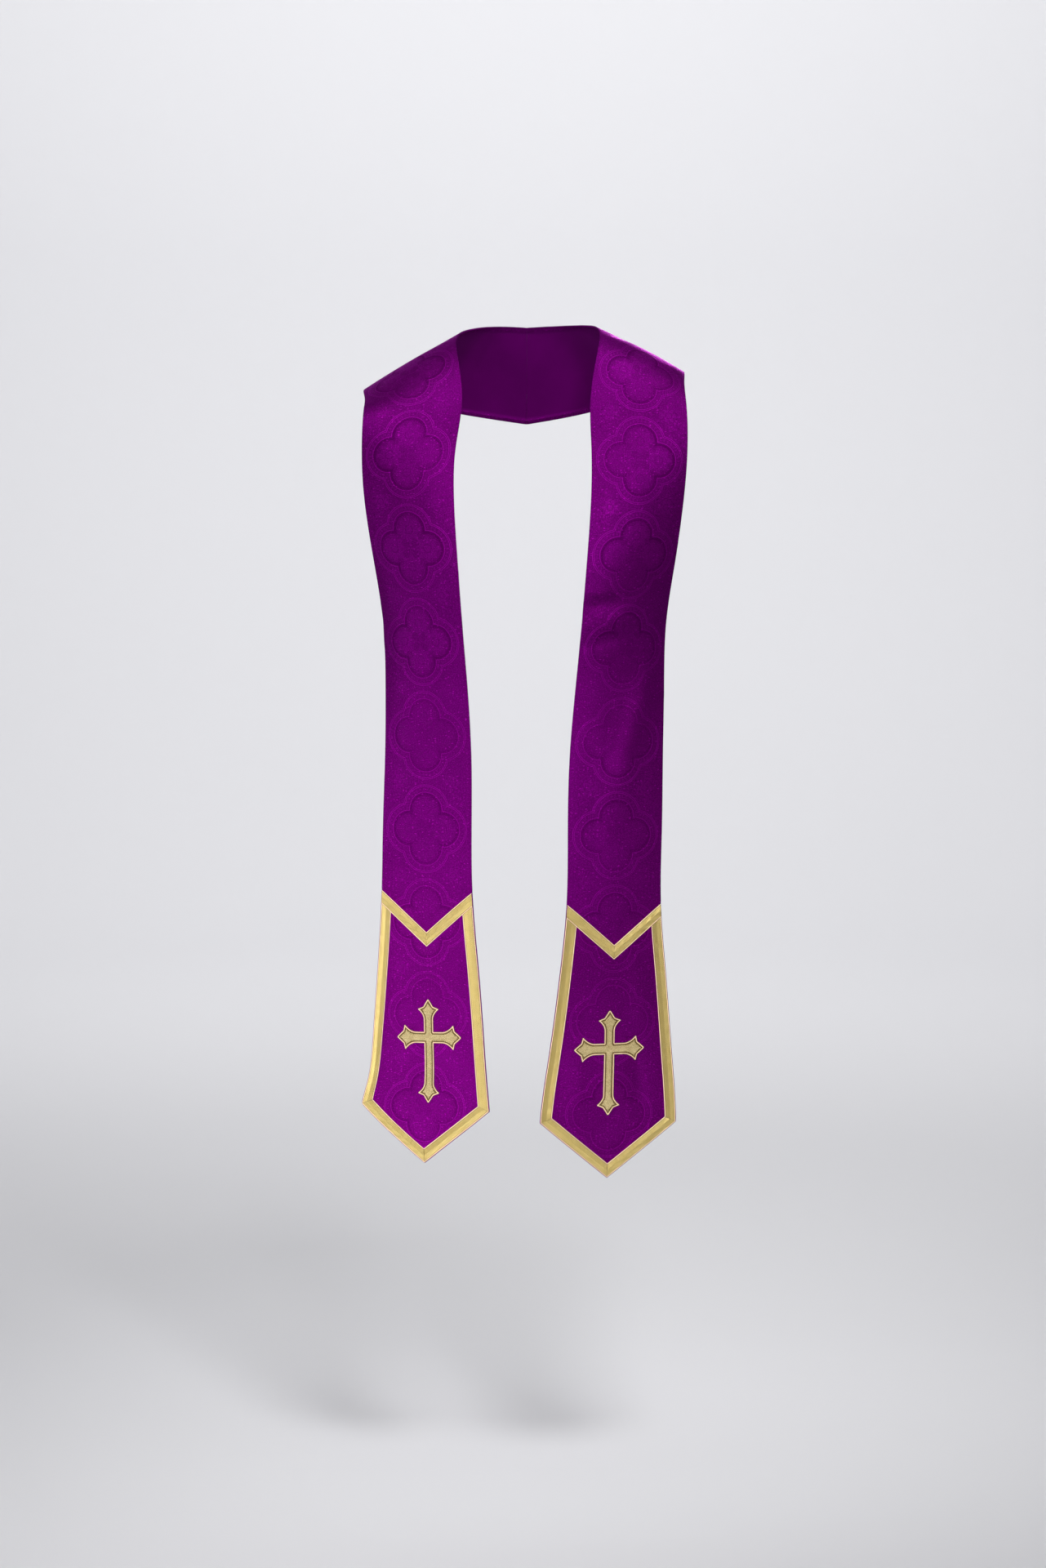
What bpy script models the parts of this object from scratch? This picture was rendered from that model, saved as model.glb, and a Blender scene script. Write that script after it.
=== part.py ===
"""Clerical stole, hung as it is worn.

Two damask strips meet in a seam at the nape, pass over the shoulders and hang down the front to pointed
ends edged in gold braid, each with an embroidered cross. Metres, +Z up. The origin is the middle of the
back neck edge. The front is -Y, and +X is the left side as the stole is worn.
"""

from collections import namedtuple

import bmesh
import bpy
import numpy as np

# Sizes of the cut, flat on the table
STRIP_WIDTH = 0.125
END_WIDTH = 0.178
SIDE_RUN = 0.283  # chevron's tip to bottom corner, along the strip
CHEVRON_DEPTH = 0.053
POINT_DROP = 0.072
CLOTH_WALL = 0.002  # damask, interlining and lining together
SEAM_GAP = 0.0003  # between pieces that are sewn to each other
MITRE_GAP = 0.0006  # the same along the slant of a mitre

# Gold braid
BRAID_WIDTH = 0.0140
BRAID_THICKNESS = 0.0010
BRAID_SETBACK = 0.0008  # cloth that shows outside the braid

# Embroidered cross: half widths of its shaft and arms, how thick it is at its outline and along its middle,
# how sharply its flares open, and the half width left at each tip
SHAFT_HALF = 0.0061
ARM_HALF = 0.0067
CROSS_RIM = 0.0012
CROSS_CROWN = 0.0018
FLARE_POWER = 2.2
TIP_HALF = 0.0005

# Mesh of the strips and what lies on them
COLUMNS = 12
ROW_LENGTH = 0.016
BRAID_ROW = 0.018
CHEVRON_LEAD = 0.16  # stretch above the chevron in which level rows turn into V rows

RIGHT, LEFT = -1, 1  # -X is the right-hand side as the stole is worn

Section = namedtuple("Section", "place x_in y_in z_in x_out y_out z_out crown")

# From the nape seam to the point: the left strip's inner and outer edge at each place, and how far the cloth
# bows out between them. The last row carries the end down to its point.
LEFT_SECTIONS = (
    Section("nape seam", 0.0000, 0.000, 0.000, 0.0000, 0.040, -0.126, 0.002),
    Section("back neck", 0.0460, -0.006, 0.002, 0.0840, 0.037, -0.110, 0.004),
    Section("back shoulder", 0.0800, -0.036, 0.001, 0.1580, 0.004, -0.084, 0.006),
    Section("shoulder ridge", 0.0950, -0.080, -0.011, 0.2018, -0.064, -0.060, 0.005),
    Section("front shoulder", 0.0895, -0.119, -0.046, 0.2035, -0.112, -0.076, 0.005),
    Section("collar bone", 0.0818, -0.147, -0.096, 0.2050, -0.140, -0.106, 0.005),
    Section("upper chest", 0.0822, -0.174, -0.165, 0.2056, -0.157, -0.168, 0.006),
    Section("chest", 0.0812, -0.192, -0.235, 0.2003, -0.156, -0.235, 0.007),
    Section("lower chest", 0.0765, -0.202, -0.305, 0.1910, -0.152, -0.305, 0.008),
    Section("waist", 0.0700, -0.208, -0.385, 0.1795, -0.150, -0.385, 0.008),
    Section("belly", 0.0622, -0.211, -0.465, 0.1765, -0.163, -0.465, 0.007),
    Section("hip", 0.0545, -0.212, -0.555, 0.1747, -0.177, -0.555, 0.006),
    Section("thigh", 0.0523, -0.213, -0.650, 0.1735, -0.182, -0.650, 0.004),
    Section("chevron tips", 0.0508, -0.214, -0.744, 0.1726, -0.184, -0.746, 0.003),
    Section("upper end", 0.0419, -0.215, -0.835, 0.1795, -0.182, -0.837, 0.003),
    Section("mid end", 0.0294, -0.215, -0.930, 0.1867, -0.185, -0.931, 0.004),
    Section("bottom corners", 0.0165, -0.214, -1.026, 0.1927, -0.188, -1.028, 0.004),
    Section("point", 0.0145, -0.213, -1.098, 0.1905, -0.187, -1.099, 0.004),
)

# The same for the right strip, with x measured the other way: this shoulder is lower, and the end
# is turned further and its outer edge sweeps out above the bottom corner.
RIGHT_SECTIONS = (
    Section("nape seam", 0.0000, 0.000, 0.000, 0.0000, 0.040, -0.126, 0.002),
    Section("back neck", 0.0455, -0.006, 0.001, 0.0850, 0.037, -0.113, 0.004),
    Section("back shoulder", 0.0790, -0.036, -0.005, 0.1630, 0.006, -0.096, 0.006),
    Section("shoulder ridge", 0.0926, -0.080, -0.021, 0.2108, -0.062, -0.083, 0.004),
    Section("front shoulder", 0.0880, -0.118, -0.052, 0.2098, -0.110, -0.096, 0.004),
    Section("collar bone", 0.0832, -0.146, -0.097, 0.2100, -0.139, -0.114, 0.005),
    Section("upper chest", 0.0912, -0.174, -0.165, 0.2118, -0.152, -0.172, 0.006),
    Section("chest", 0.0926, -0.192, -0.235, 0.2080, -0.148, -0.235, 0.007),
    Section("lower chest", 0.0885, -0.202, -0.305, 0.1975, -0.142, -0.305, 0.008),
    Section("waist", 0.0828, -0.208, -0.385, 0.1858, -0.138, -0.385, 0.008),
    Section("belly", 0.0762, -0.211, -0.465, 0.1826, -0.145, -0.465, 0.007),
    Section("hip", 0.0712, -0.212, -0.555, 0.1830, -0.157, -0.555, 0.006),
    Section("thigh", 0.0710, -0.213, -0.650, 0.1858, -0.166, -0.650, 0.004),
    Section("chevron tips", 0.0700, -0.214, -0.726, 0.1873, -0.171, -0.727, 0.003),
    Section("upper end", 0.0613, -0.215, -0.835, 0.1935, -0.168, -0.835, 0.003),
    Section("mid end", 0.0544, -0.215, -0.930, 0.2005, -0.161, -0.930, 0.004),
    Section("low end", 0.0512, -0.215, -0.975, 0.2060, -0.157, -0.975, 0.004),
    Section("bottom corners", 0.0481, -0.215, -1.011, 0.2150, -0.153, -1.011, 0.004),
    Section("point", 0.0440, -0.214, -1.083, 0.2180, -0.153, -1.082, 0.004),
)

Fold = namedtuple("Fold", "side across_a along_a across_b along_b reach height")

# Largest folds: the line that each follows, across the strip from -1 at the inner edge to 1 at the outer and
# along it from the nape seam, how far it spreads to each side, and how high it stands (a trough below 0).
FOLDS = (
    Fold(LEFT, -1.00, 0.560, -0.10, 0.552, 0.010, -0.0016),
    Fold(LEFT, -0.90, 0.584, 0.20, 0.574, 0.012, 0.0014),
    Fold(LEFT, 0.55, 0.640, 0.05, 0.800, 0.016, 0.0018),
    Fold(LEFT, 0.40, 1.130, 0.48, 1.215, 0.011, -0.0012),
    Fold(RIGHT, 1.00, 0.590, 0.20, 0.604, 0.012, 0.0016),
    Fold(RIGHT, 0.50, 0.660, 0.10, 0.820, 0.016, 0.0018),
    Fold(RIGHT, 0.62, 1.080, 0.92, 1.190, 0.012, 0.0016),
)

CrossArm = namedtuple("CrossArm", "way_x way_y length flare side_point side_half notch notch_half")

# Arms of the cross: way from its centre, length, and how far behind the tip the flare, the side points and
# the notches lie, with the half widths at the last two.
CROSS_ARMS = (
    CrossArm(0, 1, 0.049, 0.026, 0.0122, 0.0140, 0.0092, 0.0064),
    CrossArm(0, -1, 0.085, 0.026, 0.0122, 0.0140, 0.0092, 0.0064),
    CrossArm(1, 0, 0.045, 0.027, 0.0105, 0.0153, 0.0087, 0.0080),
    CrossArm(-1, 0, 0.045, 0.027, 0.0105, 0.0153, 0.0087, 0.0080),
)

CrossPlace = namedtuple("CrossPlace", "rise aside turn")

# Where each cross was sewn: above the line between the bottom corners, off the middle (towards the outer
# edge above 0), and how many degrees it leans.
CROSS_PLACES = {
    RIGHT: CrossPlace(0.0935, -0.0030, -1.8),
    LEFT: CrossPlace(0.0960, -0.0030, 1.0),
}

Half = namedtuple("Half", "side along values slopes tips corners")


def curve_slopes(along, values):
    """Slopes at the rows of the smoothest curve through them."""
    gap = np.diff(along)
    rise = np.diff(values, axis=0) / gap[:, None]
    system = np.zeros((len(along), len(along)))
    wanted = np.zeros_like(values)
    system[0, :2] = 2.0, 1.0
    system[-1, -2:] = 1.0, 2.0
    wanted[0] = 3.0 * rise[0]
    wanted[-1] = 3.0 * rise[-1]
    for row in range(1, len(along) - 1):
        before, after = gap[row - 1], gap[row]
        system[row, row - 1 : row + 2] = after, 2.0 * (before + after), before
        wanted[row] = 3.0 * (after * rise[row - 1] + before * rise[row])
    return np.linalg.solve(system, wanted)


def make_half(side, sections):
    """One strip of the stole: its edges as smooth curves over the distance along its middle."""
    values = np.array([section[1:] for section in sections])
    middle = (values[:, 0:3] + values[:, 3:6]) / 2
    steps = np.linalg.norm(np.diff(middle, axis=0), axis=1)
    along = np.concatenate(([0.0], np.cumsum(steps)))
    places = [section.place for section in sections]
    corners = along[places.index("bottom corners")]
    return Half(side, along, values, curve_slopes(along, values), corners - SIDE_RUN, corners)


def read_curve(half, along):
    """The seven columns of the section table at any distance along the strip."""
    row = np.clip(np.searchsorted(half.along, along, side="right") - 1, 0, len(half.along) - 2)
    gap = (half.along[row + 1] - half.along[row])[:, None]
    part = (along - half.along[row])[:, None] / gap
    start, end = half.values[row], half.values[row + 1]
    start_slope, end_slope = half.slopes[row] * gap, half.slopes[row + 1] * gap
    return (
        start * (1 + 2 * part) * (1 - part) ** 2
        + start_slope * part * (1 - part) ** 2
        + end * part**2 * (3 - 2 * part)
        + end_slope * part**2 * (part - 1)
    )


def half_width(half, along):
    """Half the cut's width: even down to the chevron, then flaring to the bottom corners."""
    share = np.clip((along - half.tips) / SIDE_RUN, 0.0, 1.0)
    return (STRIP_WIDTH + (END_WIDTH - STRIP_WIDTH) * share) / 2


def fold_height(half, across, along):
    """How far the folds lift or sink the cloth."""
    height = np.zeros_like(across)
    for fold in FOLDS:
        if fold.side != half.side:
            continue
        width = half_width(half, along)
        sideways = (fold.across_b - fold.across_a) * width
        down = np.full_like(along, fold.along_b - fold.along_a)
        run = np.stack((sideways, down), axis=1)
        here = np.stack(((across - fold.across_a) * width, along - fold.along_a), axis=1)
        share = np.clip((here * run).sum(axis=1) / (run * run).sum(axis=1), 0.0, 1.0)
        away = np.linalg.norm(here - run * share[:, None], axis=1)
        height += fold.height * np.exp(-((away / fold.reach) ** 2)) * (0.35 + 0.65 * np.sin(np.pi * share))
    return height


def bare_surface(half, across, along):
    """The cloth's outer face, before its folds: across runs from -1, inner edge, to 1, outer edge."""
    columns = read_curve(half, along)
    inner, outer, crown = columns[:, 0:3], columns[:, 3:6], columns[:, 6]
    ahead = read_curve(half, along + 0.002)
    behind = read_curve(half, along - 0.002)
    forward = (ahead[:, 0:3] + ahead[:, 3:6]) - (behind[:, 0:3] + behind[:, 3:6])
    out = np.cross(forward, outer - inner)
    out /= np.linalg.norm(out, axis=1)[:, None]
    middle = (inner + outer) / 2
    return middle + (outer - inner) / 2 * across[:, None] + out * (crown * (1 - across**2))[:, None]


def worn_points(half, across, along, lift):
    """Places on the worn strip, lifted off its outer face along the cloth's own normal."""
    step_across, step_along = 0.02, 0.002
    surface = bare_surface(half, across, along)
    outward = bare_surface(half, across + step_across, along)
    side_way = outward - bare_surface(half, across - step_across, along)
    onward = bare_surface(half, across, along + step_along)
    down_way = onward - bare_surface(half, across, along - step_along)
    out = np.cross(down_way, side_way)
    out /= np.linalg.norm(out, axis=1)[:, None]
    points = surface + out * (lift + fold_height(half, across, along))[:, None]
    points[:, 0] = np.maximum(points[:, 0], SEAM_GAP / 2)
    points[:, 0] *= half.side
    return points


def v_drop(half, base, across):
    """Rows are level on the strip and turn into Vs towards the chevron and the point."""
    lead = np.clip((base - half.tips + CHEVRON_LEAD) / CHEVRON_LEAD, 0.0, 1.0)
    below = np.clip((base - half.tips) / SIDE_RUN, 0.0, 1.0)
    depth = CHEVRON_DEPTH * lead**2 * (3 - 2 * lead) + (POINT_DROP - CHEVRON_DEPTH) * below
    return depth * (1 - np.abs(across))


def material(name, colour, roughness):
    made = bpy.data.materials.new(name)
    made.use_nodes = True
    shader = made.node_tree.nodes["Principled BSDF"]
    shader.inputs["Base Color"].default_value = (*colour, 1.0)
    shader.inputs["Roughness"].default_value = roughness
    shader.inputs["Metallic"].default_value = 0.0
    return made


def add_object(name, mesh, finish, collection):
    mesh.materials.append(finish)
    made = bpy.data.objects.new(name, mesh)
    collection.objects.link(made)
    return made


def close_wall(flat, place, name):
    """A flat sheet in a bmesh, made a closed wall: place gives each point from its x and y and its layer."""
    copied = bmesh.ops.extrude_face_region(flat, geom=flat.faces[:])
    below = {item for item in copied["geom"] if isinstance(item, bmesh.types.BMVert)}
    flat.verts.ensure_lookup_table()
    x = np.array([vert.co.x for vert in flat.verts])
    y = np.array([vert.co.y for vert in flat.verts])
    top = np.array([vert not in below for vert in flat.verts])
    for vert, point in zip(flat.verts, place(x, y, top)):
        vert.co = point
    bmesh.ops.recalc_face_normals(flat, faces=flat.faces[:])
    mesh = bpy.data.meshes.new(name)
    flat.to_mesh(mesh)
    flat.free()
    mesh.shade_smooth()
    mesh.set_sharp_from_angle(angle=np.radians(40))
    return mesh


def unit_grid(columns, rows):
    """A grid over 0 to 1 both ways."""
    grid = bmesh.new()
    bmesh.ops.create_grid(grid, x_segments=columns, y_segments=rows, size=0.5)
    bmesh.ops.translate(grid, vec=(0.5, 0.5, 0.0), verts=grid.verts[:])
    return grid


def strip_mesh(half, name):
    """The long strip: a wall whose outer face follows the section table, from nape seam to point."""
    rows = round(half.corners / ROW_LENGTH)

    def place(x, y, top):
        across = 2 * x - 1
        base = y * half.corners
        along = base + v_drop(half, base, across)
        return worn_points(half, across, along, np.where(top, 0.0, -CLOTH_WALL))

    return close_wall(unit_grid(COLUMNS, rows), place, name)


def braid_runs(half):
    """The braid on one side of the strip, as runs of four corners: (inward from the edge, along the strip).

    A run's corners go edge side then middle side at its start, then the same at its end. Inward is None at
    the middle of the strip, where the runs of both sides meet.
    """
    chevron_share = np.hypot(CHEVRON_DEPTH, STRIP_WIDTH / 2) / (STRIP_WIDTH / 2)
    point_share = np.hypot(POINT_DROP, END_WIDTH / 2) / (END_WIDTH / 2)
    outer, inner = BRAID_SETBACK, BRAID_SETBACK + BRAID_WIDTH
    top = half.tips
    below_chevron = top + BRAID_WIDTH * chevron_share
    side_top = below_chevron + 2 * SEAM_GAP
    bottom = half.corners - BRAID_SETBACK * point_share
    above_point = bottom - BRAID_WIDTH * point_share
    side_low, side_low_in = bottom - MITRE_GAP, above_point - MITRE_GAP
    return {
        "chevron": ((outer, top), (outer, below_chevron), (None, top), (None, below_chevron)),
        "side": ((outer, side_top), (inner, side_top), (outer, side_low), (inner, side_low_in)),
        "point": ((outer, bottom), (inner, above_point), (None, bottom), (None, above_point)),
    }


def braid_mesh(half, hand, corners, name):
    """One run of braid laid on the cloth: hand is -1 on the strip's inner side and 1 on its outer side."""
    (start_out, start_top), (start_in, start_low), (end_out, end_top), (end_in, end_low) = corners
    to_middle = end_out is None
    length = END_WIDTH / 2 if to_middle else end_top - start_top
    rows = max(2, round(length / BRAID_ROW))

    def place(x, y, top):
        base = (1 - y) * ((1 - x) * start_top + x * start_low) + y * ((1 - x) * end_top + x * end_low)
        inward = (1 - x) * start_out + x * start_in
        across = 1 - inward / half_width(half, base)
        if to_middle:
            across = (1 - y) * across + y * SEAM_GAP / END_WIDTH
        across = hand * across
        lift = np.where(top, SEAM_GAP + BRAID_THICKNESS, SEAM_GAP)
        return worn_points(half, across, base + v_drop(half, base, across), lift)

    return close_wall(unit_grid(2, rows), place, name)


def arm_rows(arm):
    """Rows of (distance from the centre, half width) along an arm: shaft, flare and three-pointed end."""
    half, root = (ARM_HALF, SHAFT_HALF) if arm.way_x else (SHAFT_HALF, ARM_HALF)
    flare_from = arm.length - arm.flare
    flare_to = arm.length - arm.side_point
    steps = max(1, round((flare_from - root) / 0.012))
    rows = [(root + (flare_from - root) * step / steps, half) for step in range(steps)]
    for share in (0.0, 0.35, 0.6, 0.82, 1.0):
        wide = half + (arm.side_half - half) * share**FLARE_POWER
        rows.append((flare_from + (flare_to - flare_from) * share, wide))
    rows.append((arm.length - arm.notch, arm.notch_half))
    rows.append((arm.length - arm.notch / 2, arm.notch_half * 0.55))
    rows.append((arm.length, TIP_HALF))
    return rows


def cross_sheet():
    """The cross flat, x across and y up: a centre and four arms, each a grid moved to its arm's rows."""
    sheet = bmesh.new()
    bmesh.ops.create_grid(sheet, x_segments=2, y_segments=2, size=1.0)
    for vert in sheet.verts:
        vert.co.x *= SHAFT_HALF
        vert.co.y *= ARM_HALF
    for arm in CROSS_ARMS:
        rows = arm_rows(arm)
        grid = bmesh.ops.create_grid(sheet, x_segments=2, y_segments=len(rows) - 1, size=1.0)
        for vert in grid["verts"]:
            distance, wide = rows[round((vert.co.y + 1) / 2 * (len(rows) - 1))]
            side = vert.co.x * wide
            vert.co.x = arm.way_x * distance + arm.way_y * side
            vert.co.y = arm.way_y * distance + arm.way_x * side
    bmesh.ops.remove_doubles(sheet, verts=sheet.verts[:], dist=1e-5)
    bmesh.ops.recalc_face_normals(sheet, faces=sheet.faces[:])
    return sheet


def cross_mesh(half, name):
    """The applied cross: a thick pad, lower at its outline than along the middle of its arms."""
    sheet = cross_sheet()
    outline = {vert for edge in sheet.edges if edge.is_boundary for vert in edge.verts}
    rim = {(round(vert.co.x, 6), round(vert.co.y, 6)) for vert in outline}
    sewn = CROSS_PLACES[half.side]
    cosine, sine = np.cos(np.radians(sewn.turn)), np.sin(np.radians(sewn.turn))

    def place(x, y, top):
        along = half.corners - sewn.rise - (x * sine + y * cosine)
        across = (sewn.aside + x * cosine - y * sine) / half_width(half, along)
        at_rim = np.array([(round(px, 6), round(py, 6)) in rim for px, py in zip(x, y)])
        height = np.where(at_rim, CROSS_RIM, CROSS_CROWN)
        return worn_points(half, across, along, SEAM_GAP + np.where(top, height, 0.0))

    return close_wall(sheet, place, name)


def build():
    for old in list(bpy.data.objects):
        bpy.data.objects.remove(old, do_unlink=True)
    collection = bpy.data.collections.new("clerical_stole")
    bpy.context.scene.collection.children.link(collection)
    damask = material("purple_damask", (0.20, 0.004, 0.21), 0.42)
    gold = material("gold_braid", (0.62, 0.42, 0.14), 0.45)
    embroidery = material("gold_embroidery", (0.60, 0.40, 0.15), 0.5)
    halves = {"right": make_half(RIGHT, RIGHT_SECTIONS), "left": make_half(LEFT, LEFT_SECTIONS)}
    for word, half in halves.items():
        name = f"stole_{word}"
        add_object(name, strip_mesh(half, name), damask, collection)
        for run, corners in braid_runs(half).items():
            for edge, hand in (("in", -1), ("out", 1)):
                name = f"braid_{word}_{run}_{edge}"
                add_object(name, braid_mesh(half, hand, corners, name), gold, collection)
        name = f"cross_{word}"
        add_object(name, cross_mesh(half, name), embroidery, collection)


build()
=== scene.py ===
# %% [markdown]
# # A clerical stole, hung as it is worn
#
# A stole is two long strips of silk damask, lined, and joined by one seam at the back of the neck. Its ends
# are edged in gold braid, and each carries an embroidered cross. Here every piece is first made flat, as on
# the cutting table, and then worn: one function carries any flat point to the place that it has on the
# shoulders. Braid, crosses and stitches follow the cloth by themselves, because they go through it too.

# %% Load the frame and the tools
from collections import namedtuple

import bmesh
import bpy
import numpy as np
from mathutils import Matrix, Vector


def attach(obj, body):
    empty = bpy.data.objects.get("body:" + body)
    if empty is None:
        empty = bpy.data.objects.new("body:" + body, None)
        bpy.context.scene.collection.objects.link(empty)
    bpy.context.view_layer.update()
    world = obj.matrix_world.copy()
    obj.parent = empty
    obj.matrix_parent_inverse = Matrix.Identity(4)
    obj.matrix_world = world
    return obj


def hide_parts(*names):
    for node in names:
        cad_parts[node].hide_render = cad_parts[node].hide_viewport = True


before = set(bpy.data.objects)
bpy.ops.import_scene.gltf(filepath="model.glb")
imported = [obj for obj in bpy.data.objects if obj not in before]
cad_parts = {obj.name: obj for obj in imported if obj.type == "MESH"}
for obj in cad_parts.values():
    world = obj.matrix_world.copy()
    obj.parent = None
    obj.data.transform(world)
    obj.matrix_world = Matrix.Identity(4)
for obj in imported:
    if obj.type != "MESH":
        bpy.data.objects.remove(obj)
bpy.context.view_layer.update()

# %% [markdown]
# ## The cut
#
# All sizes of the flat cloth are named here, in metres, so that a wider stole or a longer point is one
# number. The two tables say where the inner and outer edge of each half runs on the shoulders, from the nape
# seam to the point, and how far the cloth bows out between them. They are the same rows as in the
# construction, because the cloth drawn here has to lie where its solid lies.

# %% Sizes of the cut
STRIP_WIDTH = 0.125
END_WIDTH = 0.178
SIDE_RUN = 0.283  # chevron's tip to bottom corner, along the strip
CHEVRON_DEPTH = 0.053
POINT_DROP = 0.072
CLOTH_WALL = 0.002
SEAM_CLEARANCE = 0.000003  # the two strips meet in the nape seam, and just don't cross there
CHEVRON_LEAD = 0.16  # stretch above the chevron in which level rows turn into V rows
BRAID_WIDTH = 0.0140
BRAID_SETBACK = 0.0008  # cloth that shows outside the braid
RIGHT, LEFT = -1, 1  # -X is the right-hand side when the stole is worn

# %% Where the edges run when it is worn
Section = namedtuple("Section", "place x_in y_in z_in x_out y_out z_out crown")
LEFT_SECTIONS = [Section(*row) for row in (
    ("nape seam", 0.0000, 0.000, 0.000, 0.0000, 0.040, -0.126, 0.002),
    ("back neck", 0.0460, -0.006, 0.002, 0.0840, 0.037, -0.110, 0.004),
    ("back shoulder", 0.0800, -0.036, 0.001, 0.1580, 0.004, -0.084, 0.006),
    ("shoulder ridge", 0.0950, -0.080, -0.011, 0.2018, -0.064, -0.060, 0.005),
    ("front shoulder", 0.0895, -0.119, -0.046, 0.2035, -0.112, -0.076, 0.005),
    ("collar bone", 0.0818, -0.147, -0.096, 0.2050, -0.140, -0.106, 0.005),
    ("upper chest", 0.0822, -0.174, -0.165, 0.2056, -0.157, -0.168, 0.006),
    ("chest", 0.0812, -0.192, -0.235, 0.2003, -0.156, -0.235, 0.007),
    ("lower chest", 0.0765, -0.202, -0.305, 0.1910, -0.152, -0.305, 0.008),
    ("waist", 0.0700, -0.208, -0.385, 0.1795, -0.150, -0.385, 0.008),
    ("belly", 0.0622, -0.211, -0.465, 0.1765, -0.163, -0.465, 0.007),
    ("hip", 0.0545, -0.212, -0.555, 0.1747, -0.177, -0.555, 0.006),
    ("thigh", 0.0523, -0.213, -0.650, 0.1735, -0.182, -0.650, 0.004),
    ("chevron tips", 0.0508, -0.214, -0.744, 0.1726, -0.184, -0.746, 0.003),
    ("upper end", 0.0419, -0.215, -0.835, 0.1795, -0.182, -0.837, 0.003),
    ("mid end", 0.0294, -0.215, -0.930, 0.1867, -0.185, -0.931, 0.004),
    ("bottom corners", 0.0165, -0.214, -1.026, 0.1927, -0.188, -1.028, 0.004),
    ("point", 0.0145, -0.213, -1.098, 0.1905, -0.187, -1.099, 0.004),
)]
RIGHT_SECTIONS = [Section(*row) for row in (
    ("nape seam", 0.0000, 0.000, 0.000, 0.0000, 0.040, -0.126, 0.002),
    ("back neck", 0.0455, -0.006, 0.001, 0.0850, 0.037, -0.113, 0.004),
    ("back shoulder", 0.0790, -0.036, -0.005, 0.1630, 0.006, -0.096, 0.006),
    ("shoulder ridge", 0.0926, -0.080, -0.021, 0.2108, -0.062, -0.083, 0.004),
    ("front shoulder", 0.0880, -0.118, -0.052, 0.2098, -0.110, -0.096, 0.004),
    ("collar bone", 0.0832, -0.146, -0.097, 0.2100, -0.139, -0.114, 0.005),
    ("upper chest", 0.0912, -0.174, -0.165, 0.2118, -0.152, -0.172, 0.006),
    ("chest", 0.0926, -0.192, -0.235, 0.2080, -0.148, -0.235, 0.007),
    ("lower chest", 0.0885, -0.202, -0.305, 0.1975, -0.142, -0.305, 0.008),
    ("waist", 0.0828, -0.208, -0.385, 0.1858, -0.138, -0.385, 0.008),
    ("belly", 0.0762, -0.211, -0.465, 0.1826, -0.145, -0.465, 0.007),
    ("hip", 0.0712, -0.212, -0.555, 0.1830, -0.157, -0.555, 0.006),
    ("thigh", 0.0710, -0.213, -0.650, 0.1858, -0.166, -0.650, 0.004),
    ("chevron tips", 0.0700, -0.214, -0.726, 0.1873, -0.171, -0.727, 0.003),
    ("upper end", 0.0613, -0.215, -0.835, 0.1935, -0.168, -0.835, 0.003),
    ("mid end", 0.0544, -0.215, -0.930, 0.2005, -0.161, -0.930, 0.004),
    ("low end", 0.0512, -0.215, -0.975, 0.2060, -0.157, -0.975, 0.004),
    ("bottom corners", 0.0481, -0.215, -1.011, 0.2150, -0.153, -1.011, 0.004),
    ("point", 0.0440, -0.214, -1.083, 0.2180, -0.153, -1.082, 0.004),
)]

# %% A smooth curve through the rows
Half = namedtuple("Half", "side along values slopes tips corners")


def curve_slopes(along, values):
    """Slopes at the rows of the smoothest curve through them."""
    gap = np.diff(along)
    rise = np.diff(values, axis=0) / gap[:, None]
    system = np.zeros((len(along), len(along)))
    wanted = np.zeros_like(values)
    system[0, :2] = 2.0, 1.0
    system[-1, -2:] = 1.0, 2.0
    wanted[0] = 3.0 * rise[0]
    wanted[-1] = 3.0 * rise[-1]
    for row in range(1, len(along) - 1):
        before, after = gap[row - 1], gap[row]
        system[row, row - 1 : row + 2] = after, 2.0 * (before + after), before
        wanted[row] = 3.0 * (after * rise[row - 1] + before * rise[row])
    return np.linalg.solve(system, wanted)


def make_half(side, sections):
    """One strip of the stole: its edges as smooth curves over the distance along its middle."""
    values = np.array([section[1:] for section in sections])
    middle = (values[:, 0:3] + values[:, 3:6]) / 2
    steps = np.linalg.norm(np.diff(middle, axis=0), axis=1)
    along = np.concatenate(([0.0], np.cumsum(steps)))
    corners = along[[section.place for section in sections].index("bottom corners")]
    return Half(side, along, values, curve_slopes(along, values), corners - SIDE_RUN, corners)


def read_curve(half, along):
    """The seven columns of the section table at any distance along the strip."""
    row = np.clip(np.searchsorted(half.along, along, side="right") - 1, 0, len(half.along) - 2)
    gap = (half.along[row + 1] - half.along[row])[:, None]
    part = (along - half.along[row])[:, None] / gap
    start, end = half.values[row], half.values[row + 1]
    start_slope, end_slope = half.slopes[row] * gap, half.slopes[row + 1] * gap
    return (
        start * (1 + 2 * part) * (1 - part) ** 2
        + start_slope * part * (1 - part) ** 2
        + end * part**2 * (3 - 2 * part)
        + end_slope * part**2 * (part - 1)
    )


def half_width(half, along):
    """Half the cut's width: even down to the chevron, then flaring to the bottom corners."""
    share = np.clip((along - half.tips) / SIDE_RUN, 0.0, 1.0)
    return (STRIP_WIDTH + (END_WIDTH - STRIP_WIDTH) * share) / 2


HALVES = {"right": make_half(RIGHT, RIGHT_SECTIONS), "left": make_half(LEFT, LEFT_SECTIONS)}
for word, half in HALVES.items():
    print(f"{word} half: {half.corners:.3f} m to the corners, {half.corners + POINT_DROP:.3f} m to the point")

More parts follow.
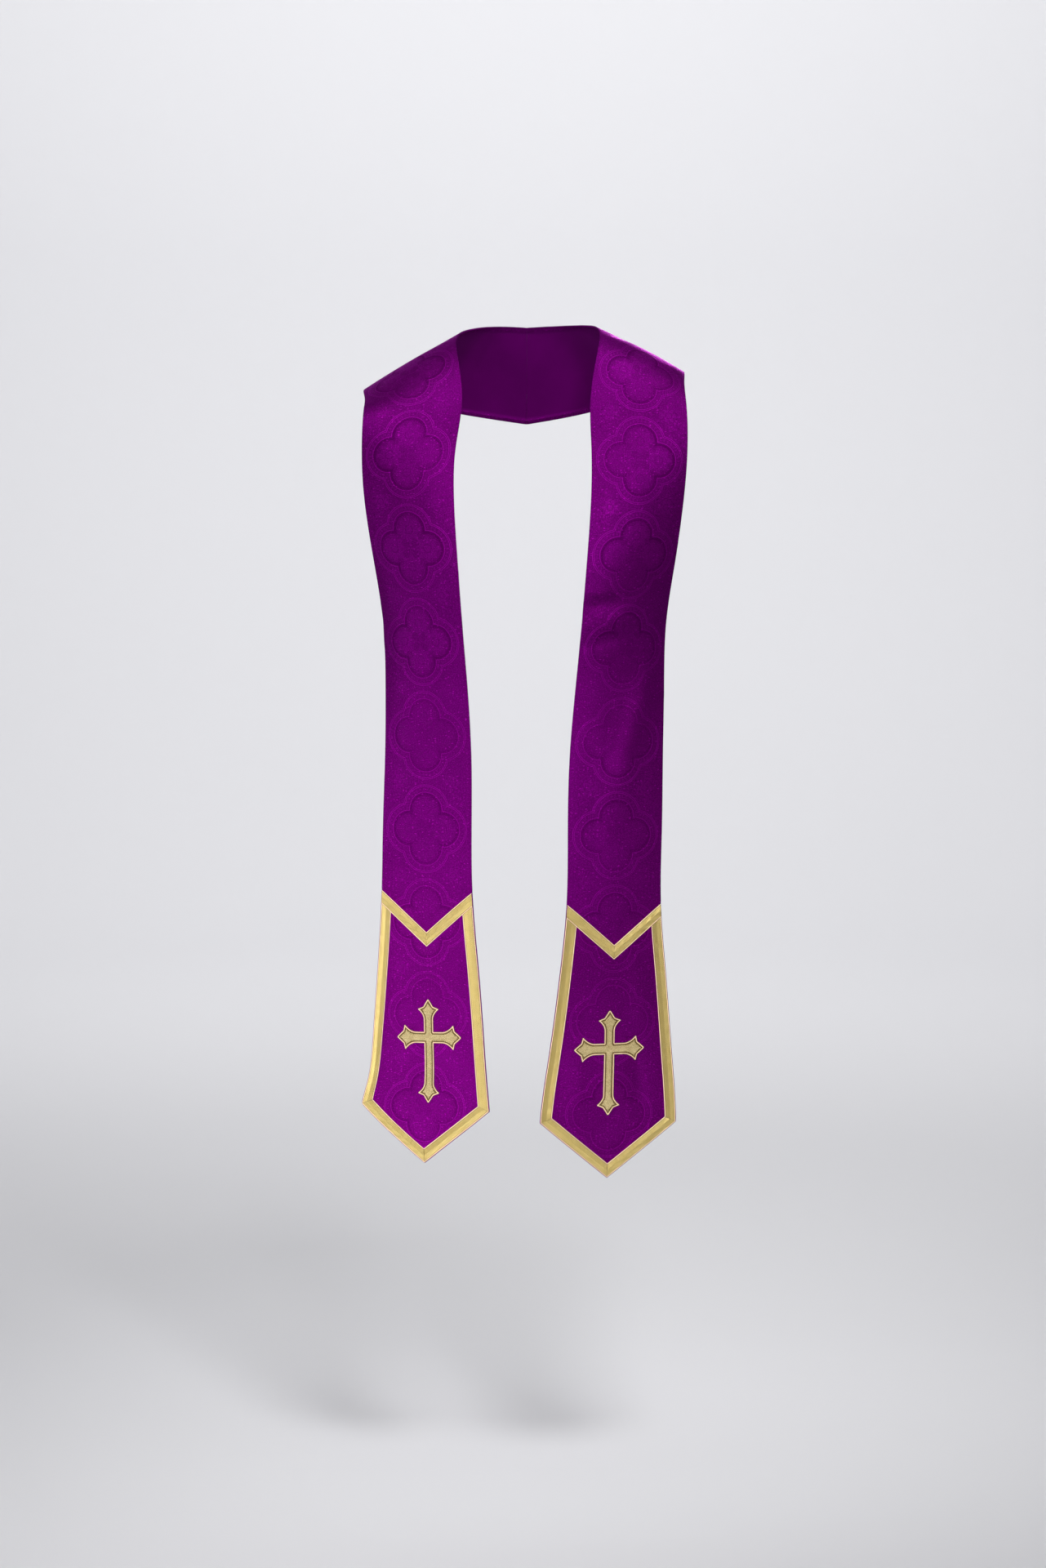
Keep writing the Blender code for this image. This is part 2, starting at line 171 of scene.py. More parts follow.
# %% [markdown]
# ## Folds and creases
#
# Lined damask is stiff, so it hangs almost plain: a few broad folds where it turns over the shoulder and
# passes the belly, and smaller creases that cross them. Each is one row: the line that it follows, how far it
# spreads to each side, and how high it stands. A crease is the same thing as a fold, only narrower and
# lower. The rows were placed one by one, uneven in length and depth, broad folds first, and the back of the
# neck has its own.

# %% Table of folds and creases
Fold = namedtuple("Fold", "across_a along_a across_b along_b reach height")
LEFT_FOLDS = [Fold(*row) for row in (
    (-1.00, 0.560, -0.10, 0.552, 0.010, -0.0016),
    (-0.90, 0.584, 0.20, 0.574, 0.012, 0.0014),
    (0.55, 0.640, 0.05, 0.800, 0.016, 0.0018),
    (0.40, 1.130, 0.48, 1.215, 0.011, -0.0012),
    (-0.95, 0.034, 0.10, 0.050, 0.008, 0.0007),
    (0.20, 0.070, 0.95, 0.058, 0.010, -0.0009),
    (-0.90, 0.112, 0.15, 0.135, 0.009, 0.0008),
    (-0.98, 0.190, -0.20, 0.176, 0.008, -0.0008),
    (0.10, 0.228, 0.98, 0.214, 0.011, 0.0009),
    (-0.60, 0.300, 0.05, 0.420, 0.014, 0.0007),
    (0.98, 0.470, 0.25, 0.492, 0.007, -0.0006),
    (-0.98, 0.541, -0.45, 0.545, 0.004, 0.0006),
    (-0.98, 0.612, 0.00, 0.600, 0.007, -0.0007),
    (0.30, 0.690, 0.98, 0.672, 0.008, 0.0006),
    (-0.55, 0.760, -0.40, 0.905, 0.013, -0.0006),
    (0.30, 1.000, 0.62, 1.110, 0.013, 0.0006),
    (-0.62, 1.120, -0.38, 1.230, 0.012, 0.0007),
)]
RIGHT_FOLDS = [Fold(*row) for row in (
    (1.00, 0.590, 0.20, 0.604, 0.012, 0.0016),
    (0.50, 0.660, 0.10, 0.820, 0.016, 0.0018),
    (0.62, 1.080, 0.92, 1.190, 0.012, 0.0016),
    (-0.20, 0.028, 0.95, 0.046, 0.009, 0.0008),
    (-0.95, 0.066, 0.10, 0.078, 0.008, -0.0008),
    (0.05, 0.124, 0.95, 0.108, 0.010, 0.0009),
    (-0.96, 0.182, 0.10, 0.196, 0.008, 0.0007),
    (0.15, 0.246, 0.98, 0.262, 0.010, -0.0007),
    (0.55, 0.320, 0.20, 0.430, 0.014, 0.0006),
    (-0.98, 0.505, -0.30, 0.520, 0.007, -0.0006),
    (0.98, 0.566, 0.30, 0.578, 0.007, -0.0008),
    (-0.98, 0.622, 0.15, 0.610, 0.008, 0.0007),
    (-0.70, 0.680, -0.55, 0.830, 0.013, 0.0006),
    (-0.30, 0.980, -0.55, 1.100, 0.013, -0.0006),
    (0.05, 1.150, 0.22, 1.240, 0.011, 0.0006),
)]
FOLDS = {LEFT: LEFT_FOLDS, RIGHT: RIGHT_FOLDS}
FOLD_END = 0.35  # share of its height that a fold still has at its ends
print("folds and creases:", len(LEFT_FOLDS), "on the left,", len(RIGHT_FOLDS), "on the right")


# %% Height of the folds
def fold_height(half, across, along):
    """How far the folds and creases lift or sink the cloth."""
    height = np.zeros_like(across)
    width = half_width(half, along)
    for fold in FOLDS[half.side]:
        sideways = (fold.across_b - fold.across_a) * width
        down = np.full_like(along, fold.along_b - fold.along_a)
        run = np.stack((sideways, down), axis=1)
        here = np.stack(((across - fold.across_a) * width, along - fold.along_a), axis=1)
        share = np.clip((here * run).sum(axis=1) / (run * run).sum(axis=1), 0.0, 1.0)
        away = np.linalg.norm(here - run * share[:, None], axis=1)
        arch = FOLD_END + (1 - FOLD_END) * np.sin(np.pi * share)
        height += fold.height * np.exp(-((away / fold.reach) ** 2)) * arch
    return height


# %% [markdown]
# ## From the table to the shoulders
#
# `wear` takes points on the flat cut, x from the strip's middle, y from the nape seam and z off the face of
# the cloth, and gives their places on the worn stole. It finds the cloth's own outward direction from small
# steps to each side, so what lies on the cloth stands square to it, however the cloth is turned.

# %% Wear any flat point
STEP_ACROSS, STEP_ALONG = 0.02, 0.002  # small steps that find which way the cloth faces


def unit_rows(rows):
    """Each row divided by its own length."""
    return rows / np.linalg.norm(rows, axis=1)[:, None]


def bare_surface(half, across, along):
    """The cloth's outer face, before its folds: across runs from -1, inner edge, to 1, outer edge."""
    columns = read_curve(half, along)
    inner, outer, crown = columns[:, 0:3], columns[:, 3:6], columns[:, 6]
    ahead = read_curve(half, along + STEP_ALONG)
    behind = read_curve(half, along - STEP_ALONG)
    forward = (ahead[:, 0:3] + ahead[:, 3:6]) - (behind[:, 0:3] + behind[:, 3:6])
    out = unit_rows(np.cross(forward, outer - inner))
    middle = (inner + outer) / 2
    return middle + (outer - inner) / 2 * across[:, None] + out * (crown * (1 - across**2))[:, None]


def wear(half, flat):
    """Places on the worn stole of points on the flat cut."""
    along = flat[:, 1]
    across = flat[:, 0] / half_width(half, along)

    def nearby(across_by, along_by):
        """The bare surface a small step away."""
        return bare_surface(half, across + across_by, along + along_by)

    side_way = nearby(STEP_ACROSS, 0.0) - nearby(-STEP_ACROSS, 0.0)
    down_way = nearby(0.0, STEP_ALONG) - nearby(0.0, -STEP_ALONG)
    out = unit_rows(np.cross(down_way, side_way))
    lift = flat[:, 2] + fold_height(half, across, along)
    points = nearby(0.0, 0.0) + out * lift[:, None]
    points[:, 0] = np.maximum(points[:, 0], SEAM_CLEARANCE) * half.side
    return points


def v_drop(half, base, across):
    """Rows are level on the strip and turn into Vs towards the chevron and the point."""
    lead = np.clip((base - half.tips + CHEVRON_LEAD) / CHEVRON_LEAD, 0.0, 1.0)
    below = np.clip((base - half.tips) / SIDE_RUN, 0.0, 1.0)
    depth = CHEVRON_DEPTH * lead**2 * (3 - 2 * lead) + (POINT_DROP - CHEVRON_DEPTH) * below
    return depth * (1 - np.abs(across))


# %% Finish a flat mesh as a worn piece
SHARP_ANGLE = 50  # degrees from which an edge is drawn sharp


def read_array(items, name, width, kind):
    """One property of all the vertices, corners or faces of a mesh, as an array."""
    values = np.empty(len(items) * width, dtype=kind)
    items.foreach_get(name, values)
    return values.reshape(-1, width) if width > 1 else values


def finish_piece(sheet, half, name, finishes, pattern_from=Matrix()):
    """Wears a flat bmesh and makes it an object. pattern_from turns flat places into its UV map."""
    bmesh.ops.recalc_face_normals(sheet, faces=sheet.faces[:])
    mesh = bpy.data.meshes.new(name)
    sheet.to_mesh(mesh)
    sheet.free()
    flat = read_array(mesh.vertices, "co", 3, np.float32).astype(float)
    turn = np.array(pattern_from)
    pattern = flat @ turn[:3, :3].T + turn[:3, 3]
    corner_verts = read_array(mesh.loops, "vertex_index", 1, np.int32)
    cut = mesh.uv_layers.new(name="cut")
    cut.data.foreach_set("uv", pattern[corner_verts, :2].astype(np.float32).ravel())
    mesh.vertices.foreach_set("co", wear(half, flat).astype(np.float32).ravel())
    if half.side == LEFT:
        mesh.flip_normals()  # the flat cut is seen mirrored on this side
    mesh.update()
    mesh.shade_smooth()
    mesh.set_sharp_from_angle(angle=np.radians(SHARP_ANGLE))
    for finish in finishes:
        mesh.materials.append(finish)
    piece = bpy.data.objects.new(name, mesh)
    bpy.context.scene.collection.objects.link(piece)
    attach(piece, "root")
    mesh.calc_loop_triangles()
    print(f"{name}: {len(mesh.loop_triangles)} triangles")
    return piece


# %% [markdown]
# ## Camera, floor and light
#
# The camera is a long portrait lens level with the upper part of the stole, a little tilted down. The floor
# and the wall are one pale round sheet with a curved turn between them, which photographers call a sweep, so
# no line shows where they meet. It goes all the way round, because the stole is looked at from behind too.
# The key light stands on the picture's left and has a grid, which keeps its light on the cloth: silk shows
# its folds and its woven figure only where one light is stronger.

# %% Camera
CAMERA_PLACE = (-0.005, -4.36, -0.25)
CAMERA_TILT = 4.67  # degrees below the level
LENS, SENSOR_HEIGHT = 75.0, 36.0  # millimetres
FLOOR_LEVEL = -1.526
camera = bpy.data.objects.new("camera", bpy.data.cameras.new("camera"))
camera.data.lens = LENS
camera.data.sensor_fit = "VERTICAL"
camera.data.sensor_height = SENSOR_HEIGHT
camera.location = CAMERA_PLACE
camera.rotation_euler = (np.radians(90.0 - CAMERA_TILT), 0.0, 0.0)
bpy.context.scene.collection.objects.link(camera)
bpy.context.scene.camera = camera
bpy.context.scene.view_settings.view_transform = "Standard"

# %% Sweep
SWEEP_RADIUS, SWEEP_TURN, SWEEP_TOP = 7.5, 2.2, 4.5
PAPER_COLOUR, PAPER_ROUGHNESS = (0.74, 0.74, 0.76, 1.0), 0.9


def sweep():
    """A round floor that turns up into a wall: half its section, spun once round."""
    sheet = bmesh.new()
    centre = sheet.verts.new((0, 0, FLOOR_LEVEL))
    grown = bmesh.ops.extrude_vert_indiv(sheet, verts=[centre])
    bmesh.ops.translate(sheet, vec=(0, SWEEP_RADIUS - SWEEP_TURN, 0), verts=grown["verts"])
    pivot = (0, SWEEP_RADIUS - SWEEP_TURN, FLOOR_LEVEL + SWEEP_TURN)
    turned = bmesh.ops.spin(
        sheet, geom=grown["verts"], cent=pivot, axis=(1, 0, 0), dvec=(0, 0, 0), angle=np.pi / 2, steps=16,
        use_merge=False,
    )["geom_last"]
    top = [item for item in turned if isinstance(item, bmesh.types.BMVert)]
    grown = bmesh.ops.extrude_vert_indiv(sheet, verts=top)
    bmesh.ops.translate(sheet, vec=(0, 0, SWEEP_TOP - FLOOR_LEVEL - SWEEP_TURN), verts=grown["verts"])
    bmesh.ops.spin(
        sheet, geom=sheet.verts[:] + sheet.edges[:], cent=(0, 0, 0), axis=(0, 0, 1), dvec=(0, 0, 0),
        angle=2 * np.pi, steps=96, use_merge=True,
    )
    bmesh.ops.remove_doubles(sheet, verts=sheet.verts[:], dist=1e-4)
    mesh = bpy.data.meshes.new("sweep")
    sheet.to_mesh(mesh)
    sheet.free()
    mesh.shade_smooth()
    return mesh


paper = bpy.data.materials.new("sweep_paper")
paper.use_nodes = True
paper_shader = paper.node_tree.nodes["Principled BSDF"]
paper_shader.inputs["Base Color"].default_value = PAPER_COLOUR
paper_shader.inputs["Roughness"].default_value = PAPER_ROUGHNESS
backdrop = bpy.data.objects.new("sweep", sweep())
backdrop.data.materials.append(paper)
bpy.context.scene.collection.objects.link(backdrop)

# %% Lights
Lamp = namedtuple("Lamp", "name place aim size watts spread")
LAMPS = (
    Lamp("key", (-2.5, -3.2, -0.4), (-0.08, -0.20, -1.12), 0.9, 6.2, 32.0),
    Lamp("top", (0.6, -2.6, 2.4), (0.05, -0.15, -0.12), 0.9, 8.5, 50.0),
    Lamp("back", (0.6, 3.4, 0.6), (0.0, 0.0, -0.3), 1.6, 9.0, 70.0),
    Lamp("sky", (0.0, 0.0, 4.2), (0.0, 0.01, -1.5), 6.0, 80.0, 180.0),
    Lamp("far wall", (0.0, 2.8, 3.6), (0.0, 7.4, 0.4), 3.0, 180.0, 150.0),
    Lamp("near wall", (0.0, -4.8, 3.8), (0.0, -7.4, 0.4), 3.0, 60.0, 120.0),
)


def hang_lamp(lamp):
    """A square soft light at its place, turned to what it lights."""
    light = bpy.data.lights.new(lamp.name, "AREA")
    light.size = lamp.size
    light.energy = lamp.watts
    light.spread = np.radians(lamp.spread)
    stand = bpy.data.objects.new(lamp.name, light)
    stand.location = lamp.place
    stand.rotation_euler = (Vector(lamp.aim) - Vector(lamp.place)).to_track_quat("-Z", "Y").to_euler()
    bpy.context.scene.collection.objects.link(stand)


for lamp in LAMPS:
    hang_lamp(lamp)
ROOM_COLOUR, ROOM_STRENGTH = (0.95, 0.96, 1.0, 1.0), 0.13
room = bpy.data.worlds.new("room")
room.use_nodes = True
room_light = room.node_tree.nodes["Background"]
room_light.inputs["Color"].default_value = ROOM_COLOUR
room_light.inputs["Strength"].default_value = ROOM_STRENGTH
bpy.context.scene.world = room
print("camera, sweep and", len(LAMPS), "lamps are set")

# %% [markdown]
# ## Small tools for node materials
#
# A material here is a wiring diagram, and most of its nodes are plain arithmetic on the cut's own
# coordinates. A `Wire` is the output of a node that can be added, multiplied and so on like a number, and
# each such step puts one Math node in the tree, so that the finishes below read as formulas. What several
# finishes share becomes a node group, built once, with named sockets.

# %% Wires
class Wire:
    """The output of a node. Calculating with it adds Math nodes to its tree."""

    def __init__(self, node, output=0):
        self.tree, self.socket = node.id_data, node.outputs[output]

    def step(self, operation, *others):
        """Any operation of the Math node, with this wire first."""
        return maths(self.tree, operation, self, *others)

    def __add__(self, other):
        return self.step("ADD", other)

    def __sub__(self, other):
        return self.step("SUBTRACT", other)

    def __rsub__(self, other):
        return maths(self.tree, "SUBTRACT", other, self)

    def __mul__(self, other):
        return self.step("MULTIPLY", other)

    def __rtruediv__(self, other):
        return maths(self.tree, "DIVIDE", other, self)

    def __abs__(self):
        return self.step("ABSOLUTE")


def feed(node, inputs):
    """Sets a node's inputs, by name or number, to values or to the wires that feed them."""
    for key, value in inputs.items():
        if isinstance(value, Wire):
            value.tree.links.new(value.socket, node.inputs[key])
        else:
            node.inputs[key].default_value = value
    return node


def put(tree, kind, inputs, **settings):
    """Adds a node with its settings and inputs."""
    made = tree.nodes.new(kind)
    for name, value in settings.items():
        setattr(made, name, value)
    return feed(made, inputs)


def maths(tree, operation, *values):
    """One Math node, as a wire."""
    return Wire(put(tree, "ShaderNodeMath", dict(enumerate(values)), operation=operation))


# %% Masks and patterns
def fade(value, start, end):
    """0 before start, 1 past end, and smooth between."""
    inputs = {"Value": value, "From Min": start, "From Max": end}
    return Wire(put(value.tree, "ShaderNodeMapRange", inputs, interpolation_type="SMOOTHSTEP"))


def band(value, middle, reach):
    """1 where value is at middle, 0 from reach away."""
    return 1.0 - fade(abs(value - middle), reach * 0.35, reach)


def distance(x, y):
    """Distance of (x, y) from the origin."""
    return (x * x + y * y).step("SQRT")


def split(place):
    """The x and y of a place."""
    apart = put(place.tree, "ShaderNodeSeparateXYZ", {0: place})
    return Wire(apart, "X"), Wire(apart, "Y")


def stretch(place, scale):
    """A place with its axes scaled, which draws what is patterned on it out to strokes."""
    return Wire(put(place.tree, "ShaderNodeMapping", {"Vector": place, "Scale": scale}))


def noise(place, scale, detail):
    """Cloudy noise from 0 to 1."""
    return Wire(put(place.tree, "ShaderNodeTexNoise", {"Vector": place, "Scale": scale, "Detail": detail}))


def cells(place, scale, randomness=1.0):
    """Scattered cells: the distance to the nearest one's centre, and a colour for each."""
    inputs = {"Vector": place, "Scale": scale, "Randomness": randomness}
    made = put(place.tree, "ShaderNodeTexVoronoi", inputs)
    return Wire(made, "Distance"), Wire(made, "Color")


def blend(share, first, second):
    """Two colours mixed."""
    return Wire(put(share.tree, "ShaderNodeMix", {0: share, 6: first, 7: second}, data_type="RGBA"), 2)


def bump(height, depth, strength):
    """A normal that makes a height look raised by depth."""
    inputs = {"Height": height, "Distance": depth, "Strength": strength}
    return Wire(put(height.tree, "ShaderNodeBump", inputs))


# %% Groups
def new_group(name, inputs, outputs):
    """An empty shader group with float or vector inputs and float outputs."""
    tree = bpy.data.node_groups.new(name, "ShaderNodeTree")
    for label, value in inputs.items():
        kind = "NodeSocketFloat" if isinstance(value, float) else "NodeSocketVector"
        socket = tree.interface.new_socket(label, in_out="INPUT", socket_type=kind)
        if isinstance(value, float):
            socket.default_value = value
    for label in outputs:
        tree.interface.new_socket(label, in_out="OUTPUT", socket_type="NodeSocketFloat")
    return tree, tree.nodes.new("NodeGroupInput"), tree.nodes.new("NodeGroupOutput")


def use_group(group, inputs):
    """Places a group in a material with its own values. The first of them is a wire."""
    return put(next(iter(inputs.values())).tree, "ShaderNodeGroup", inputs, node_tree=group)


# %% [markdown]
# ## Weave
#
# Every cloth here is woven, so weft threads pass over and under warp threads. Two sine waves across each
# other give the crowns of the threads, and a slow noise makes some threads thicker, as in real silk.

# %% Weave group
def weave_group():
    """Threads of a plain or satin weave, as a height."""
    tree, given, result = new_group("weave", {"Vector": (), "Pitch": 0.0005}, ["Height"])
    place = Wire(given, "Vector")
    x, y = split(place)
    turns = 2 * np.pi / Wire(given, "Pitch")
    crowns = (x * turns).step("SINE") * (y * turns).step("SINE") * 0.5 + 0.5
    slub = noise(stretch(place, (1500.0, 90.0, 1.0)), 1.0, 2.0)
    feed(result, {"Height": slub * 0.6 + crowns})
    return tree


WEAVE = weave_group()

# %% [markdown]
# ## Damask figure
#
# Damask has one colour of thread in two weaves: the figure floats its threads and shines, the ground binds
# them and stays darker. The figure here is the traditional quatrefoil: four round lobes about a centre, one
# medallion under another down the strip. Distances give it all. A medallion is the same in its four
# quarters, so the pattern is worked out in one quarter, as the distance to the nearer of two lobe centres:
# rings are bands of that distance, petals come from the angle round it, and small leaves from cells.

# %% Damask figure group, with its lengths in millimetres
MILLIMETRES = 1000.0
REPEAT = 120.0
LOBE_AWAY = 24.0  # medallion's centre to a lobe's centre
LOBE_FILL = 18.3
LOBE_RINGS, RING_WIDTH = (23.0, 30.4, 32.4), 0.62  # thin shining rings
CHANNEL_AT, CHANNEL_WIDTH = 20.35, 2.2  # plain dark ring inside them
PETALS, PETAL_IN, PETAL_WAVE = 8.0, 3.6, 2.2
STREAKS, STREAK_SLANT = 26.0, 0.35
HEART_AT, HEART_WIDTH = 5.2, 1.1
BEADS, BEAD_RING, BEAD_WIDTH = 34.0, 26.8, 2.6
ROSETTE_ASIDE = 38.0  # small flowers between the medallions
ROSETTE_SIZE, ROSETTE_PETALS, ROSETTE_WAVE, ROSETTE_HEART = 10.5, 6.0, 2.0, 4.0


def damask_group():
    """Figure is 1 on shining floats, Channel 1 on each lobe's plain dark ring and on the dark berries."""
    tree, given, result = new_group(
        "damask_figure", {"Across": 0.0, "Along": 0.0}, ["Figure", "Ring", "Channel"]
    )
    x = abs(Wire(given, "Across") * MILLIMETRES)
    from_tangent = (Wire(given, "Along") * MILLIMETRES).step("PINGPONG", REPEAT / 2)
    y = REPEAT / 2 - from_tangent
    x_lobe, y_lobe = x - LOBE_AWAY, y - LOBE_AWAY
    to_side, to_top = distance(x_lobe, y), distance(x, y_lobe)
    side_nearer = to_side.step("LESS_THAN", to_top)
    nearest = to_side.step("MINIMUM", to_top)
    in_middle = (x + y).step("LESS_THAN", LOBE_AWAY)
    away = in_middle * nearest.step("MINIMUM", LOBE_FILL - 1.5) + (1.0 - in_middle) * nearest
    angle = side_nearer * y.step("ARCTAN2", x_lobe) + (1.0 - side_nearer) * y_lobe.step("ARCTAN2", x)

    ring = band(away, LOBE_RINGS[0], RING_WIDTH)
    for radius in LOBE_RINGS[1:]:
        ring = ring.step("MAXIMUM", band(away, radius, RING_WIDTH))
    petal_edge = (angle * PETALS).step("COSINE") * PETAL_WAVE + (LOBE_FILL - PETAL_IN)
    petals = 1.0 - fade(away - petal_edge, -0.6, 0.6)
    streak = fade((away * STREAK_SLANT + angle * STREAKS).step("COSINE"), -0.5, 0.6)
    heart = 1.0 - band(away, HEART_AT, HEART_WIDTH)
    beaded = fade((angle * BEADS).step("COSINE"), -0.1, 0.6) * band(away, BEAD_RING, BEAD_WIDTH)

    place = Wire(put(tree, "ShaderNodeCombineXYZ", {"X": x, "Y": y}))
    leaf = 1.0 - fade(cells(place, 0.36, 0.85)[0], 0.28, 0.52)
    clump = fade(noise(place, 0.085, 1.0), 0.38, 0.52)
    outside = fade(away, LOBE_RINGS[-1] + 1.0, LOBE_RINGS[-1] + 2.5)
    berry = (1.0 - fade(cells(place, 0.17, 0.5)[0], 0.16, 0.24)) * outside

    x_flower = x - ROSETTE_ASIDE
    flower_away = distance(x_flower, from_tangent)
    flower_wave = (from_tangent.step("ARCTAN2", x_flower) * ROSETTE_PETALS).step("COSINE") * ROSETTE_WAVE
    flower = 1.0 - fade(flower_away - flower_wave - (ROSETTE_SIZE - 2.4), -0.5, 0.5)
    flower = flower * (1.0 - band(flower_away, ROSETTE_HEART, 1.0))

    figure = petals * (leaf * 0.30 + streak * 0.35 + 0.35) * heart
    for part in (beaded * 0.75, leaf * clump * outside, flower, ring):
        figure = figure.step("MAXIMUM", part)
    channel = band(away, CHANNEL_AT, CHANNEL_WIDTH).step("MAXIMUM", berry)
    feed(result, {"Figure": figure, "Ring": ring, "Channel": channel})
    return tree


DAMASK = damask_group()

# %% [markdown]
# ## Metal thread
#
# Gold thread is a thin gilt strip wound round a core, so it glitters in short dashes along its length. The
# group gives the windings as a height and the glitter as a mask, which the finishes paint lighter as painted
# glints. The braid, its edge, the embroidery and the hand sewing use it with their own pitch.

# %% Metal thread group
def metal_thread_group():
    """Windings along a thread, and the uneven glitter of its gilding, a mask for painted glints."""
    tree, given, result = new_group("metal_thread", {"Vector": (), "Pitch": 0.0004}, ["Height", "Glitter"])
    place = Wire(given, "Vector")
    x, y = split(place)
    windings = ((x + abs(y)) * (2 * np.pi / Wire(given, "Pitch"))).step("SINE")
    glitter = (1.0 - cells(place, 1400.0)[0]).step("POWER", 2.0)
    feed(result, {"Height": windings * 0.5 + glitter, "Glitter": glitter})
    return tree


METAL_THREAD = metal_thread_group()


# %% Start of a material
def start_finish(name, values):
    """A material with its shader's plain values set, and its own cut coordinates at hand."""
    made = bpy.data.materials.new(name)
    made.use_nodes = True
    shader = feed(made.node_tree.nodes["Principled BSDF"], values)
    return made, shader, Wire(put(made.node_tree, "ShaderNodeUVMap", {}, uv_map="cut"))


# %% [markdown]
# ## The finishes
#
# Purple damask: nearly all of its shine is purple too, because light passes through the dyed threads on its
# way out. A mostly metallic shader does that, where a plain gloss would lay a grey veil over the colour. Its
# woven figure is painted lighter than the ground as a painted sheen, with painted glints of single threads.
# The lining is a plain satin of the same dye. Braid, embroidery and hand sewing are threads, painted lighter
# where they glitter (painted glints); gold threads lie on a dark brown ground.

# %% Purple damask
# GROUND is the damask's own purple. The lighter purple of the floats is a painted sheen, because figure and
# ground are one colour of thread.
GROUND, FLOATS_PAINTED_SHEEN = (0.080, 0.0006, 0.081, 1.0), (0.275, 0.0040, 0.280, 1.0)
SILK_GLOSS = {"Specular IOR Level": 0.12, "Specular Tint": (1.0, 0.08, 1.0, 1.0)}
DAMASK_TANGENTS = {"right": 0.2925, "left": 0.3135}  # where two medallions touch, from the nape seam


def damask(name, tangent):
    """Damask for one strip: painted sheen makes its figure come and go in patches and fade towards the ends.
    """
    made, shader, cut = start_finish(name, {"Metallic": 0.85, **SILK_GLOSS})
    across, along = split(cut)
    woven = use_group(DAMASK, {"Across": across, "Along": along - tangent})
    figure, ring, channel = (Wire(woven, label) for label in ("Figure", "Ring", "Channel"))
    # Painted glints: flecks and short strokes of single silk threads that catch the light, painted lighter
    # into the colour. The flecks also raise the bump.
    glint_fleck = fade(noise(cut, 700.0, 2.0), 0.42, 0.72)
    stroke, chance = cells(stretch(cut, (210.0, 430.0, 1.0)), 1.0)
    chosen = Wire(put(cut.tree, "ShaderNodeSeparateColor", {0: chance}))
    painted_glint_stroke = (1.0 - fade(stroke, 0.12, 0.34)) * fade(chosen, 0.58, 0.80)
    # Painted sheen: the figure's contrast is painted to come and go in patches and to fade towards the ends,
    # as the silk's sheen does. The patches also scale the figure's bump.
    sheen_patches = fade(noise(cut, 8.0, 1.0), 0.38, 0.60) * 0.7 + 0.3
    sheen_fade_to_end = 1.0 - fade(along, 0.30, 1.0) * 0.6
    # The woven figure and its rings are painted lighter than the ground: a painted sheen on a real woven
    # pattern. The glints added next are painted too, and the last noise is tone that varies at random.
    shine = (figure - channel) * sheen_fade_to_end * sheen_patches * 0.26 + ring * 0.30
    shine = shine + glint_fleck * 0.40 + painted_glint_stroke * 0.85 + noise(cut, 14.0, 2.0) * 0.20
    threads = Wire(use_group(WEAVE, {"Vector": cut, "Pitch": 0.0006}))
    height = figure * sheen_patches * 0.9 + threads + glint_fleck * 0.35
    feed(shader, {
        "Base Color": blend(shine.step("MAXIMUM", 0.0), GROUND, FLOATS_PAINTED_SHEEN),
        "Roughness": 0.43 - figure * 0.10 + channel * 0.08,
        "Normal": bump(height, 0.00015, 0.7),
    })
    return made


DAMASKS = {word: damask(f"damask_{word}", tangent) for word, tangent in DAMASK_TANGENTS.items()}


# %% Lining
def lining_satin():
    """Plain purple satin, duller than the damask, with a faint weave."""
    made, shader, cut = start_finish("lining_satin", {"Roughness": 0.5, "Metallic": 0.4, **SILK_GLOSS})
    threads = Wire(use_group(WEAVE, {"Vector": cut, "Pitch": 0.0004}))
    colour = blend(noise(cut, 22.0, 3.0), (0.095, 0.0007, 0.098, 1.0), (0.150, 0.0014, 0.155, 1.0))
    feed(shader, {"Base Color": colour, "Normal": bump(threads, 0.00006, 0.5)})
    return made


LINING = lining_satin()

# %% Thread finishes
THREAD_GLOSS = {"Specular IOR Level": 0.3}


def thread_finish(name, dark, light, roughness, metallic, pitch, gloss=THREAD_GLOSS):
    """Wound thread: painted darker between its glints, and painted lighter and smoother where it glitters."""
    made, shader, cut = start_finish(name, {"Metallic": metallic, **gloss})
    thread = use_group(METAL_THREAD, {"Vector": cut, "Pitch": pitch})
    glitter = Wire(thread, "Glitter")
    # The colour's mix: the glitter as painted glints, plus tone that varies at random.
    share = glitter * 0.65 + noise(cut, 90.0, 2.0) * 0.5
    feed(shader, {
        "Base Color": blend(share, (*dark, 1.0), (*light, 1.0)),
        "Roughness": roughness + 0.05 - glitter * 0.15,
        "Normal": bump(Wire(thread, "Height"), 0.00008, 0.7),
    })
    return made


GOLD_THREAD = thread_finish("gold_thread", (0.60, 0.44, 0.12), (1.00, 0.84, 0.38), 0.38, 0.6, 0.00045)
GOLD_GROUND = thread_finish("gold_ground", (0.05, 0.030, 0.003), (0.16, 0.10, 0.012), 0.6, 0.3, 0.0006)
GOLD_EDGE = thread_finish("gold_edge", (0.88, 0.60, 0.36), (1.00, 0.80, 0.56), 0.5, 0.25, 0.0006)
STITCH_FILL = thread_finish("embroidery_fill", (0.46, 0.33, 0.12), (1.00, 0.90, 0.56), 0.42, 0.25, 0.0005)
STITCH_GROUND = thread_finish("embroidery_ground", (0.08, 0.05, 0.01), (0.30, 0.21, 0.06), 0.6, 0.1, 0.0006)
STITCH_EDGE = thread_finish("embroidery_edge", (0.80, 0.56, 0.36), (1.00, 0.80, 0.58), 0.5, 0.15, 0.0005)
